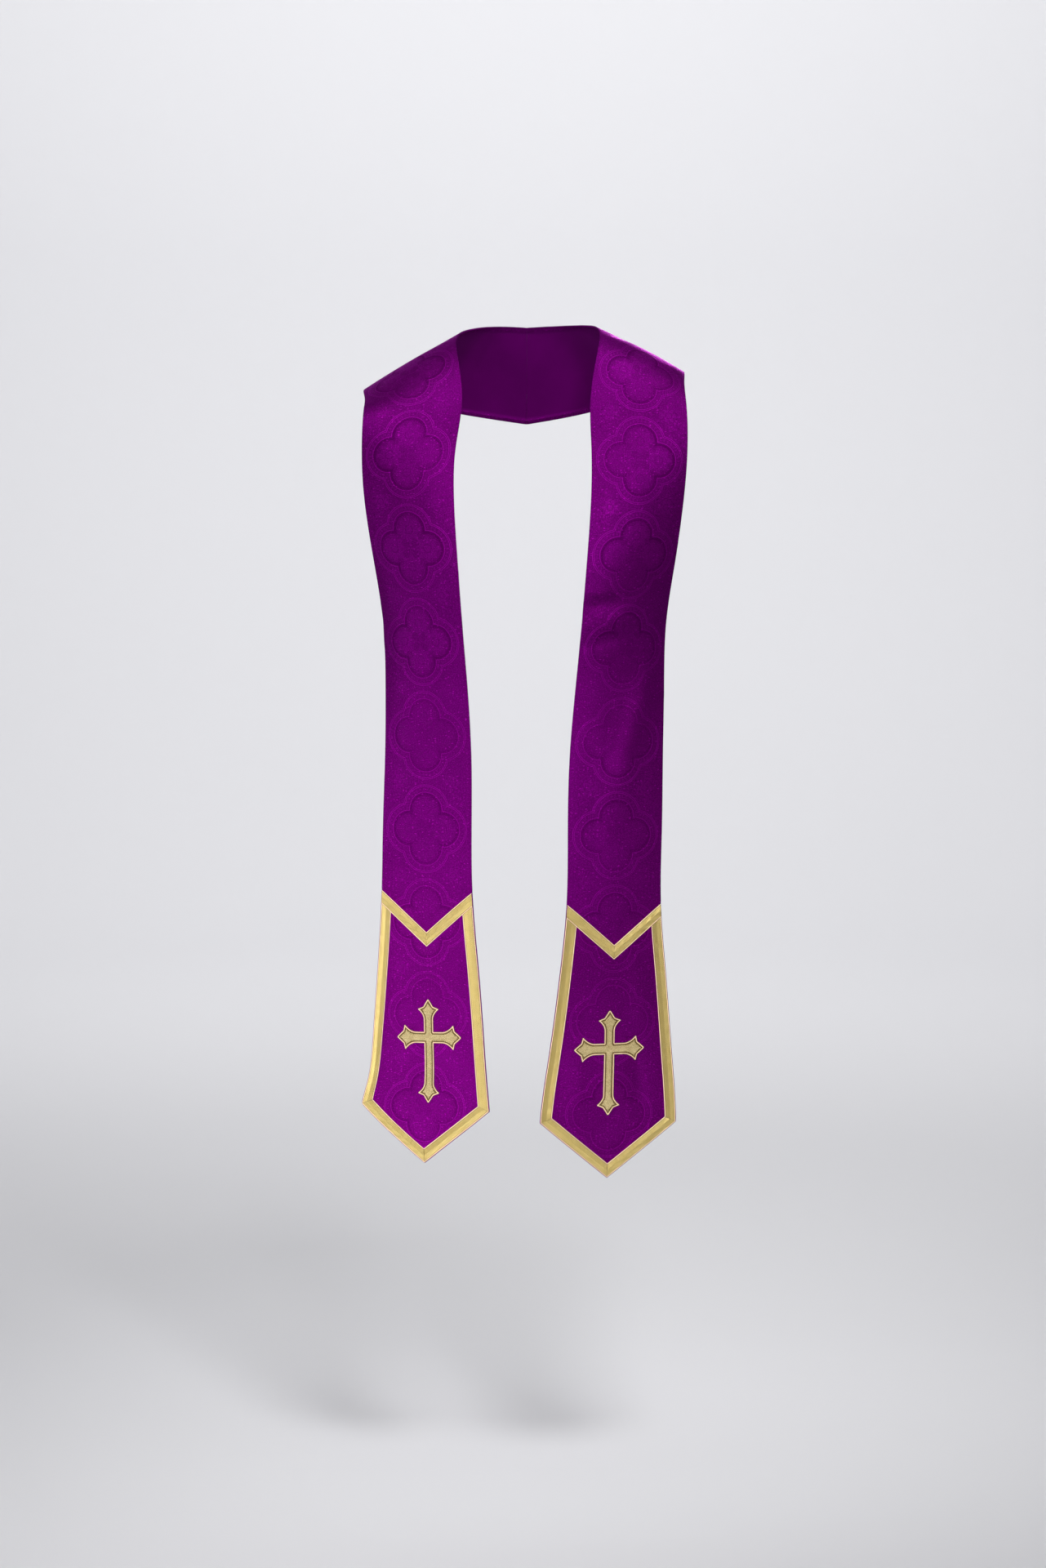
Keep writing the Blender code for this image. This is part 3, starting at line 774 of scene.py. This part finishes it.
# Dark thread for the running stitch in the cross's groove, and for the painted shadow line round its foot.
DARK_THREAD_AND_SHADOW = thread_finish("dark_thread_and_painted_shadow", (0.035, 0.020, 0.005), (0.10, 0.065, 0.020), 0.6, 0.1, 0.0004)
PURPLES = (0.06, 0.0006, 0.06), (0.20, 0.004, 0.20)
PURPLE_THREAD = thread_finish("purple_thread", *PURPLES, 0.5, 0.85, 0.0004, SILK_GLOSS)
print("finishes:", [finish.name for finish in bpy.data.materials])

# %% [markdown]
# ## The two strips
#
# A strip is cut in damask, turned in at its edges, and closed behind with a lining that stops a few
# millimetres short of them. In mesh terms it is a flat grid, extruded down by the thickness of the cloth, its
# outline bevelled round, with the lining's part of the back raised a little. The rows of the grid turn into
# Vs near the end, so its last row is the point and no cut across the squares is needed.

# %% Strip
HEM = 0.006  # damask that shows behind, outside the lining
HEM_SHARE = HEM / (STRIP_WIDTH / 2)  # the same as a share of half the strip's width
COLUMN_GAP = 0.012  # last even column to the lining's edge, as a share of half the width
ROW_GAP = 0.0008  # last even row to the lining's edge
LINING_STEP = 0.0005
ROW_LENGTH = 0.0030
INNER_COLUMNS = 38
EDGE_ROUNDING = 0.0008


def column_places():
    """Places across the strip of the grid's columns: even in the middle, and close where the lining ends."""
    last = 1 - HEM_SHARE - COLUMN_GAP
    middle = np.linspace(-last, last, INNER_COLUMNS + 1)
    edge = np.array([1 - HEM_SHARE, 1 - HEM_SHARE / 2, 1.0])
    return np.concatenate((-edge[::-1], middle, edge))


def row_places(half):
    """Places of the rows before they turn into Vs, close where the lining ends above the point."""
    body = half.corners - HEM - ROW_GAP
    rows = np.linspace(0.0, body, round(body / ROW_LENGTH) + 1)
    return np.concatenate((rows, [half.corners - HEM, half.corners - HEM / 2, half.corners]))


def place_in_half(half, point):
    """How far a point of the cut lies from the middle, 0 to 1, and how far from the slanting bottom edge."""
    across = abs(point.x) / float(half_width(half, point.y))
    return across, half.corners + POINT_DROP * (1 - across) - point.y


def strip_piece(word, half):
    """One half of the stole, with its lining and the seam end at the nape."""
    columns, rows = column_places(), row_places(half)
    sheet = bmesh.new()
    bmesh.ops.create_grid(sheet, x_segments=len(columns) - 1, y_segments=len(rows) - 1, size=0.5)
    for vert in sheet.verts:
        across = columns[round((vert.co.x + 0.5) * (len(columns) - 1))]
        base = rows[round((vert.co.y + 0.5) * (len(rows) - 1))]
        vert.co.y = base + float(v_drop(half, base, across))
        vert.co.x = across * float(half_width(half, vert.co.y))
    grown = bmesh.ops.extrude_face_region(sheet, geom=sheet.faces[:])["geom"]
    below = {item for item in grown if isinstance(item, bmesh.types.BMVert)}
    lined = 1 - HEM_SHARE - COLUMN_GAP / 2
    for vert in below:
        across, above_edge = place_in_half(half, vert.co)
        in_lining = across < lined and above_edge > HEM + ROW_GAP / 2
        vert.co.z -= CLOTH_WALL - (LINING_STEP if in_lining else 0.0)
    for face in sheet.faces:
        across, above_edge = place_in_half(half, face.calc_center_median())
        behind = all(vert in below for vert in face.verts)
        face.material_index = int(behind and across < lined + COLUMN_GAP / 3 and above_edge > HEM)
    sharp = [edge for edge in sheet.edges if edge.calc_face_angle(0.0) > 1.0]
    past_seam = ROW_LENGTH / 2  # the seam's own edges stay square, so that the halves meet
    outline = [edge for edge in sharp if max(vert.co.y for vert in edge.verts) > past_seam]
    bmesh.ops.bevel(
        sheet, geom=outline, offset=EDGE_ROUNDING, segments=3, profile=0.5, affect="EDGES", material=-1
    )
    piece = finish_piece(sheet, half, f"strip_{word}", [DAMASKS[word], LINING])
    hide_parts(f"stole_{word}")
    return piece


STRIPS = {word: strip_piece(word, half) for word, half in HALVES.items()}

# %% [markdown]
# ## Gold braid
#
# The braid is a woven band: a flat ground, two rows of slanting threads that meet in a herringbone down its
# middle, and a pale cord along each edge. It is laid in straight runs, and where two runs meet they are cut
# on the mitre. So each run is made longer than it needs to be, set down along its own line on the flat cut,
# and cut back with planes through the mitres, exactly as the shears would do it.

# %% Lengths of the braid's make
GROUND_HEIGHT = 0.0005
CORD_RADIUS = 0.00055
COLUMN_WIDTH = 0.0054  # one of the two herringbone columns
THREAD_PITCH = 0.00175
THREAD_WIDTH = 0.00092
THREAD_HEIGHT = 0.0009
SLANT_OVERLAP = 1.04  # slanting threads reach a little past their column
RUN_STEP = 0.006
MITRE_GAP = 0.0003


# %% Repeat a small shape
def lay_copies(sheet, unit, places, angles, finish):
    """Adds a copy of a small mesh at each place, turned by its angle: one array for thousands of threads."""
    template = bpy.data.meshes.new("unit")
    unit.to_mesh(template)
    unit.free()
    own = read_array(template.vertices, "co", 3, np.float32)
    corners = read_array(template.loops, "vertex_index", 1, np.int32)
    starts = read_array(template.polygons, "loop_start", 1, np.int32)
    cosine, sine = np.cos(angles)[:, None], np.sin(angles)[:, None]
    x = own[:, 0] * cosine - own[:, 1] * sine + places[:, 0:1]
    y = own[:, 0] * sine + own[:, 1] * cosine + places[:, 1:2]
    z = own[:, 2] + places[:, 2:3]
    count = np.arange(len(places))[:, None]
    copies = bpy.data.meshes.new("copies")
    copies.vertices.add(x.size)
    copies.vertices.foreach_set("co", np.stack((x, y, z), axis=2).astype(np.float32).ravel())
    copies.loops.add(len(places) * len(corners))
    copies.loops.foreach_set("vertex_index", (corners + count * len(own)).astype(np.int32).ravel())
    copies.polygons.add(len(places) * len(starts))
    copies.polygons.foreach_set("loop_start", (starts + count * len(corners)).astype(np.int32).ravel())
    copies.polygons.foreach_set("material_index", np.full(len(places) * len(starts), finish, dtype=np.int32))
    copies.update(calc_edges=True)
    sheet.from_mesh(copies)
    for mesh in (template, copies):
        bpy.data.meshes.remove(mesh)


ALONG_X = Matrix.Rotation(np.pi / 2, 4, "Y")  # turns what stands on z to lie along x


def thread_unit(length, width, height):
    """A short thread along x: a long drop, thickest in its middle."""
    unit = bmesh.new()
    size = Matrix.Diagonal((length / 2, width / 2, height / 2, 1)) @ ALONG_X
    bmesh.ops.create_uvsphere(unit, u_segments=6, v_segments=4, radius=1.0, matrix=size)
    return unit


def add_bar(sheet, length, radius, matrix):
    """An eight-sided bar, and the faces that it has."""
    made = bmesh.ops.create_cone(
        sheet, cap_ends=True, segments=8, radius1=radius, radius2=radius, depth=length, matrix=matrix
    )
    return {face for vert in made["verts"] for face in vert.link_faces}


def bar_unit(length, width, height):
    """A short thread along x of one thickness, cut square at both ends."""
    unit = bmesh.new()
    add_bar(unit, 1.0, 1.0, Matrix.Diagonal((length, width / 2, height / 2, 1)) @ ALONG_X)
    return unit


def flat_lay(way, inward, middle):
    """The matrix that lays things made along x and y along two directions of the cut, about a middle."""
    return Matrix((
        (way[0], inward[0], 0, middle[0]),
        (way[1], inward[1], 0, middle[1]),
        (0, 0, 1, 0),
        (0, 0, 0, 1),
    ))


# %% Parts of a braid, lying along x with its width along y
def cut_steps(sheet, edges, length):
    """Cuts the lengthwise edges of a long shape into steps, so that it can bend with the cloth."""
    lengthwise = [edge for edge in edges if edge.calc_length() > length * 0.9]
    bmesh.ops.subdivide_edges(sheet, edges=lengthwise, cuts=max(1, round(length / RUN_STEP)))


def long_bar(sheet, length, place):
    """A rounded edge cord along x."""
    faces = add_bar(sheet, length, CORD_RADIUS, Matrix.Translation(place) @ ALONG_X)
    for face in faces:
        face.material_index = 2
    cut_steps(sheet, {edge for face in faces for edge in face.edges}, length)


def braid_ground(sheet, length):
    """The flat ground of the band."""
    size = Matrix.Diagonal((length, BRAID_WIDTH - CORD_RADIUS, GROUND_HEIGHT, 1))
    bmesh.ops.create_cube(sheet, size=1.0, matrix=Matrix.Translation((0, 0, GROUND_HEIGHT / 2)) @ size)
    cut_steps(sheet, sheet.edges, length)
    for face in sheet.faces:
        face.material_index = 1


def herringbone(sheet, length):
    """Slanting threads in two columns that meet in the middle of the band."""
    rows = round(length / THREAD_PITCH)
    unit_size = COLUMN_WIDTH * np.sqrt(2.0) * SLANT_OVERLAP, THREAD_WIDTH, THREAD_HEIGHT
    x = (np.arange(rows) + 0.5 - rows / 2) * THREAD_PITCH
    for side in (-1, 1):
        y = np.full(rows, side * COLUMN_WIDTH / 2)
        places = np.stack((x, y, np.full(rows, GROUND_HEIGHT)), axis=1)
        angles = np.full(rows, -side * np.pi / 4)
        lay_copies(sheet, bar_unit(*unit_size), places, angles, 0)


# %% Runs of braid on the flat cut
Run = namedtuple("Run", "start end inward cuts")


def braid_runs(half, hand):
    """Lines that the three runs follow on one side of a strip, and the planes that cut them."""
    tip = Vector((hand * STRIP_WIDTH / 2, half.tips, 0))
    corner = Vector((hand * END_WIDTH / 2, half.corners, 0))
    point = Vector((0, half.corners + POINT_DROP, 0))
    vee = Vector((0, half.tips + CHEVRON_DEPTH, 0))
    towards_middle = Vector((-hand, 0, 0))

    def square_to(start, end, hint):
        """The direction across a line, on the side that hint points to."""
        way = (end - start).normalized()
        across = Vector((-way.y, way.x, 0))
        return across if across.dot(hint) > 0 else -across

    side_in = square_to(tip, corner, towards_middle)
    point_in = square_to(corner, point, Vector((0, -1, 0)))
    chevron_in = square_to(tip, vee, Vector((0, 1, 0)))
    side_edge, point_edge = tip + side_in * BRAID_SETBACK, corner + point_in * BRAID_SETBACK
    mitre = (side_in - point_in).normalized()  # across the fold at the bottom corner
    middle = Vector((hand * MITRE_GAP / 2, 0, 0))
    below_chevron = tip + chevron_in * (BRAID_WIDTH + MITRE_GAP)
    return {
        "chevron": Run(tip, vee, chevron_in, ((side_edge, -side_in), (middle, towards_middle))),
        "side": Run(
            side_edge, corner + side_in * BRAID_SETBACK, side_in,
            ((below_chevron, -chevron_in), (corner - mitre * MITRE_GAP / 2, None)),
        ),
        "point": Run(
            point_edge, point + point_in * BRAID_SETBACK, point_in,
            ((corner + mitre * MITRE_GAP / 2, None), (middle, towards_middle)),
        ),
    }, mitre


# %% Lay, cut and sew a run
def braid_piece(word, half, name, edge_word, hand):
    """One run of braid on one side of a strip."""
    runs, mitre = braid_runs(half, hand)
    run = runs[name]
    way = (run.end - run.start).normalized()
    length = (run.end - run.start).length + 4 * BRAID_WIDTH
    band_mesh = bmesh.new()
    braid_ground(band_mesh, length)
    for side in (-1, 1):
        edge_place = (0, side * (BRAID_WIDTH / 2 - CORD_RADIUS), GROUND_HEIGHT * 0.8)
        long_bar(band_mesh, length, edge_place)
    herringbone(band_mesh, length)
    middle = (run.start + run.end) / 2 + run.inward * BRAID_WIDTH / 2
    lay = flat_lay(way, run.inward, middle)
    bmesh.ops.transform(band_mesh, matrix=lay, verts=band_mesh.verts[:])
    for place, away in run.cuts:
        if away is None:
            away = mitre if mitre.dot(middle - place) < 0 else -mitre
        everything = band_mesh.verts[:] + band_mesh.edges[:] + band_mesh.faces[:]
        bmesh.ops.bisect_plane(band_mesh, geom=everything, plane_co=place, plane_no=away, clear_outer=True)
        open_edges = [edge for edge in band_mesh.edges if edge.is_boundary]
        bmesh.ops.holes_fill(band_mesh, edges=open_edges, sides=0)
    node = f"braid_{word}_{name}_{edge_word}"
    finishes = [GOLD_THREAD, GOLD_GROUND, GOLD_EDGE]
    piece = finish_piece(band_mesh, half, f"gold_{node}", finishes, lay.inverted())
    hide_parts(node)
    return piece


BRAIDS = {
    (word, name, edge_word): braid_piece(word, half, name, edge_word, hand)
    for word, half in HALVES.items()
    for name in ("chevron", "side", "point")
    for edge_word, hand in (("in", -1), ("out", 1))
}

# %% [markdown]
# ## Embroidered cross
#
# The cross is worked on its own ground and applied: a padded body filled with short gold stitches, a running
# stitch in a groove just inside the edge, and a satin-stitched pale outline. Its arms flare to three points.
# The outline is drawn once, as the half widths along an arm, and everything else is measured from it: the
# padding rises with the distance from the outline, and so do the stitches that lie on it.

# %% Outline of the cross
SHAFT_HALF = 0.0061
ARM_HALF = 0.0067
FLARE_POWER = 2.2
TIP_HALF = 0.0005
CrossArm = namedtuple("CrossArm", "way_x way_y length flare side_point side_half notch notch_half")
CROSS_ARMS = (
    CrossArm(0, 1, 0.049, 0.026, 0.0122, 0.0140, 0.0092, 0.0064),
    CrossArm(1, 0, 0.045, 0.027, 0.0105, 0.0153, 0.0087, 0.0080),
    CrossArm(0, -1, 0.085, 0.026, 0.0122, 0.0140, 0.0092, 0.0064),
    CrossArm(-1, 0, 0.045, 0.027, 0.0105, 0.0153, 0.0087, 0.0080),
)
CrossPlace = namedtuple("CrossPlace", "rise aside turn")
CROSS_PLACES = {"right": CrossPlace(0.0935, -0.0030, -1.8), "left": CrossPlace(0.0960, -0.0030, 1.0)}
FLARE_STEPS = 9
SHAFT_STEP = 0.004


def arm_rows(arm):
    """Rows of (distance from the centre, half width) along an arm: shaft, flare and three-pointed end."""
    half, root = (ARM_HALF, SHAFT_HALF) if arm.way_x else (SHAFT_HALF, ARM_HALF)
    flare_from = arm.length - arm.flare
    flare_to = arm.length - arm.side_point
    steps = max(1, round((flare_from - root) / SHAFT_STEP))
    rows = [(root + (flare_from - root) * step / steps, half) for step in range(steps)]
    for share in np.linspace(0.0, 1.0, FLARE_STEPS):
        wide = half + (arm.side_half - half) * share**FLARE_POWER
        rows.append((flare_from + (flare_to - flare_from) * share, wide))
    rows.append((arm.length - arm.notch, arm.notch_half))
    rows.append((arm.length - arm.notch / 2, arm.notch_half * 0.55))
    rows.append((arm.length, TIP_HALF))
    return rows


def cross_outline():
    """Points once round the cross: up one side of each arm and down the other."""
    points = []
    for arm in CROSS_ARMS:
        rows = arm_rows(arm)
        for far, side in [(far, -wide) for far, wide in rows] + rows[::-1]:
            points.append((arm.way_x * far + arm.way_y * side, arm.way_y * far - arm.way_x * side))
    return np.array(points)


OUTLINE = cross_outline()
print("points round the cross:", len(OUTLINE))


# %% Distance from the outline
def from_outline(points):
    """Distance of flat points to the nearest edge of the cross, and whether each lies inside."""
    starts, ends = OUTLINE, np.roll(OUTLINE, -1, axis=0)
    runs = ends - starts
    lengths = np.maximum((runs**2).sum(axis=1), 1e-12)
    here = points[:, None, :] - starts[None, :, :]
    share = np.clip((here * runs).sum(axis=2) / lengths, 0.0, 1.0)
    nearest = np.linalg.norm(here - runs * share[:, :, None], axis=2).min(axis=1)
    crosses = (starts[:, 1] > points[:, 1:2]) != (ends[:, 1] > points[:, 1:2])
    rise = np.where(np.abs(runs[:, 1]) > 1e-9, runs[:, 1], 1e-9)
    at = starts[:, 0] + (points[:, 1:2] - starts[:, 1]) / rise * runs[:, 0]
    inside = (crosses & (points[:, 0:1] < at)).sum(axis=1) % 2 == 1
    return nearest, inside


RIM_HEIGHT = 0.0006
CROWN_HEIGHT = 0.0015
PAD_RISE = 0.0028  # how far in from the outline the padding reaches most of its height
GROOVE_IN, GROOVE_WIDE, GROOVE_DEEP = 0.0021, 0.0007, 0.0005


def pad_height(distance):
    """Height of the padding at a distance inside the outline, with the groove of the running stitch."""
    swell = RIM_HEIGHT + (CROWN_HEIGHT - RIM_HEIGHT) * (1 - np.exp(-((distance / PAD_RISE) ** 2)))
    return swell - GROOVE_DEEP * np.exp(-(((distance - GROOVE_IN) / GROOVE_WIDE) ** 2))


# %% Padding
PAD_COLUMNS = 16


def cross_pad(sheet):
    """The padded body: a centre and four arms, each a grid moved to its arm's rows, with a closed back."""
    centre = bmesh.ops.create_grid(sheet, x_segments=PAD_COLUMNS, y_segments=PAD_COLUMNS, size=1.0)
    for vert in centre["verts"]:
        vert.co.x *= SHAFT_HALF
        vert.co.y *= ARM_HALF
    for arm in CROSS_ARMS:
        rows = arm_rows(arm)
        finer = np.linspace(0, len(rows) - 1, 3 * (len(rows) - 1) + 1)
        far, wide = (np.interp(finer, range(len(rows)), column) for column in zip(*rows))
        grid = bmesh.ops.create_grid(sheet, x_segments=PAD_COLUMNS, y_segments=len(finer) - 1, size=1.0)
        for vert in grid["verts"]:
            row = round((vert.co.y + 1) / 2 * (len(finer) - 1))
            side = vert.co.x * wide[row]
            vert.co.x = arm.way_x * far[row] + arm.way_y * side
            vert.co.y = arm.way_y * far[row] + arm.way_x * side
    bmesh.ops.remove_doubles(sheet, verts=sheet.verts[:], dist=1e-5)
    bmesh.ops.recalc_face_normals(sheet, faces=sheet.faces[:])
    grown = bmesh.ops.extrude_face_region(sheet, geom=sheet.faces[:])["geom"]
    below = {item for item in grown if isinstance(item, bmesh.types.BMVert)}
    top = [vert for vert in sheet.verts if vert not in below]
    inward, _ = from_outline(np.array([vert.co.xy for vert in top]))
    for vert, height in zip(top, pad_height(inward)):
        vert.co.z = height
    for face in sheet.faces:
        face.material_index = 3


# %% Stitches
def walk_outline(step):
    """Places at even steps round the outline, with the direction of its edge there."""
    closed = np.vstack((OUTLINE, OUTLINE[:1]))
    lengths = np.linalg.norm(np.diff(closed, axis=0), axis=1)
    total = np.concatenate(([0.0], np.cumsum(lengths)))
    at = np.arange(0.0, total[-1], step)
    row = np.clip(np.searchsorted(total, at, side="right") - 1, 0, len(lengths) - 1)
    part = (at - total[row]) / np.maximum(lengths[row], 1e-9)
    places = closed[row] + (closed[row + 1] - closed[row]) * part[:, None]
    ways = (closed[row + 1] - closed[row]) / np.maximum(lengths[row], 1e-9)[:, None]
    return places, ways


SATIN_STEP, SATIN_SIZE = 0.00045, (0.0015, 0.00056, 0.0009)  # each size is length, width and height
SATIN_IN, SATIN_LIFT = 0.00027, 0.0003  # middle of a stitch from the outline, and above the rim
DASH_STEP, DASH_SIZE = 0.0025, (0.0022, 0.00085, 0.0005)
# The second of these is how far outside the outline a row of dark stitches lies: a painted shadow round the
# foot of the cross.
DASH_LIFT, PAINTED_SHADOW_OUT = 0.0001, 0.0006
FILL_LENGTH, FILL_ROW, FILL_INSET = 0.0016, 0.00062, 0.0029
FILL_SIZE = (FILL_LENGTH, 0.00055, 0.0005)
CHANCE = np.random.default_rng(5)  # hand work is never quite even


def outline_stitches(sheet):
    """Satin stitches side by side over the edge, square to it."""
    places, ways = walk_outline(SATIN_STEP)
    inward = np.stack((ways[:, 1], -ways[:, 0]), axis=1)
    middles = places + inward * SATIN_IN
    heights = RIM_HEIGHT + SATIN_LIFT + CHANCE.normal(0, 0.00004, len(middles))
    angles = np.arctan2(inward[:, 1], inward[:, 0]) + CHANCE.normal(0, 0.08, len(middles))
    lay_copies(sheet, thread_unit(*SATIN_SIZE), np.column_stack((middles, heights)), angles, 1)


def groove_stitches_and_painted_shadow(sheet):
    """Dark running stitches in the groove inside the outline, and a painted shadow of dark stitches round its
    outer foot.
    """
    places, ways = walk_outline(DASH_STEP)
    inward = np.stack((ways[:, 1], -ways[:, 0]), axis=1)
    # The first row is real dark thread in the groove; the second, outside the outline, is a painted shadow.
    for aside, floor in ((GROOVE_IN, pad_height(GROOVE_IN)), (-PAINTED_SHADOW_OUT, 0.0)):
        middles = places + inward * aside
        distance, inside = from_outline(middles)
        kept = (inside == (aside > 0)) & (distance > abs(aside) * 0.85)
        angles = np.arctan2(ways[kept, 1], ways[kept, 0])
        laid = np.column_stack((middles[kept], np.full(kept.sum(), floor + DASH_LIFT)))
        lay_copies(sheet, thread_unit(*DASH_SIZE), laid, angles, 2)


def fill_stitches(sheet):
    """Short gold stitches in staggered rows over the padding."""
    reach_x, reach_y = np.abs(OUTLINE).max(axis=0)
    places = []
    for row, y in enumerate(np.arange(-reach_y, reach_y, FILL_ROW)):
        shift = (row % 3) * FILL_LENGTH / 3
        places += [(x + shift, y) for x in np.arange(-reach_x, reach_x, FILL_LENGTH * 1.02)]
    places = np.array(places)
    distance, inside = from_outline(places)
    kept = inside & (distance > FILL_INSET)
    count = int(kept.sum())
    heights = pad_height(distance[kept]) + CHANCE.normal(0.00006, 0.00005, count)
    angles = CHANCE.normal(0.1, 0.7, count)
    lay_copies(sheet, thread_unit(*FILL_SIZE), np.column_stack((places[kept], heights)), angles, 0)
    return count


# %% Sew on the crosses
def cross_piece(word, half):
    """One applied cross, laid at its own height and lean on the end of a strip."""
    sheet = bmesh.new()
    cross_pad(sheet)
    filled = fill_stitches(sheet)
    outline_stitches(sheet)
    groove_stitches_and_painted_shadow(sheet)
    sewn = CROSS_PLACES[word]
    cosine, sine = np.cos(np.radians(sewn.turn)), np.sin(np.radians(sewn.turn))
    lay = flat_lay((cosine, -sine), (-sine, -cosine), (sewn.aside, half.corners - sewn.rise))
    bmesh.ops.transform(sheet, matrix=lay, verts=sheet.verts[:])
    finishes = [STITCH_FILL, STITCH_EDGE, DARK_THREAD_AND_SHADOW, STITCH_GROUND]
    piece = finish_piece(sheet, half, f"embroidered_cross_{word}", finishes, lay.inverted())
    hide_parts(f"cross_{word}")
    print(f"{word} cross has {filled} fill stitches")
    return piece


CROSSES = {word: cross_piece(word, half) for word, half in HALVES.items()}

# %% [markdown]
# ## Hand sewing
#
# Two rows of hand stitches finish the strips. A ladder of them joins both halves at the nape, and slip
# stitches hold the lining to the turned-in hem behind. They lie where the table of the cut puts the seam and
# the lining's edge, so they are one more array of short threads, worn with the cloth.

# %% Sewing
LADDER_STEP, SLIP_STEP = 0.0030, 0.0055
SEWING_SIZE = (0.0016, 0.00045, 0.00045)
BEHIND = -(CLOTH_WALL - LINING_STEP * 0.6)


def sew_row(sheet, x, y, height, lean, spread):
    """A row of hand stitches at one height, each leaning a little its own way."""
    places = np.column_stack((x, y, np.full(len(x), height)))
    angles = np.pi / 2 + lean + CHANCE.normal(0.0, spread, len(x))
    lay_copies(sheet, thread_unit(*SEWING_SIZE), places, angles, 0)


def sewing_piece(word, half):
    """The hand stitches of one strip: its side of the nape seam, front and back, and the lining's edge."""
    sheet = bmesh.new()
    seam_x = np.arange(-STRIP_WIDTH / 2 + HEM, STRIP_WIDTH / 2 - HEM / 2, LADDER_STEP)
    past_seam = np.full(len(seam_x), SEWING_SIZE[0] * 0.45)
    for height in (-0.0001, BEHIND + 0.0002):
        sew_row(sheet, seam_x, past_seam, height, 0.0, 0.08)
    lined = 1 - HEM_SHARE - COLUMN_GAP / 3
    down = np.arange(0.010, half.corners - HEM, SLIP_STEP)
    share = np.linspace(-lined, lined, round(2 * lined * END_WIDTH / SLIP_STEP))
    point_y = half.corners + POINT_DROP * (1 - np.abs(share)) - HEM
    for x, y, lean in (
        (-lined * half_width(half, down), down, 0.35),
        (lined * half_width(half, down), down, -0.35),
        (share * half_width(half, point_y), point_y, 1.2),
    ):
        sew_row(sheet, x, y, BEHIND - 0.0001, lean, 0.15)
    return finish_piece(sheet, half, f"hand_sewing_{word}", [PURPLE_THREAD])


SEWING = {word: sewing_piece(word, half) for word, half in HALVES.items()}

# %% [markdown]
# ## What each strip was cut to
#
# A strip's flat size is its widest and longest, and its area is that of the real cut: an even strip, a
# flaring end and a triangle for the point. Both are printed, and each strip's braids, cross and sewing are
# gathered in a list.

for word, half in HALVES.items():
    length = half.corners + POINT_DROP
    area = STRIP_WIDTH * half.tips + (STRIP_WIDTH + END_WIDTH) / 2 * SIDE_RUN + END_WIDTH * POINT_DROP / 2
    trims = [piece for (side, name, edge_word), piece in BRAIDS.items() if side == word]
    carried = trims + [CROSSES[word], SEWING[word]]
    print(f"{word} strip: flat {END_WIDTH:.3f} x {length:.3f} m, {area:.4f} m2")
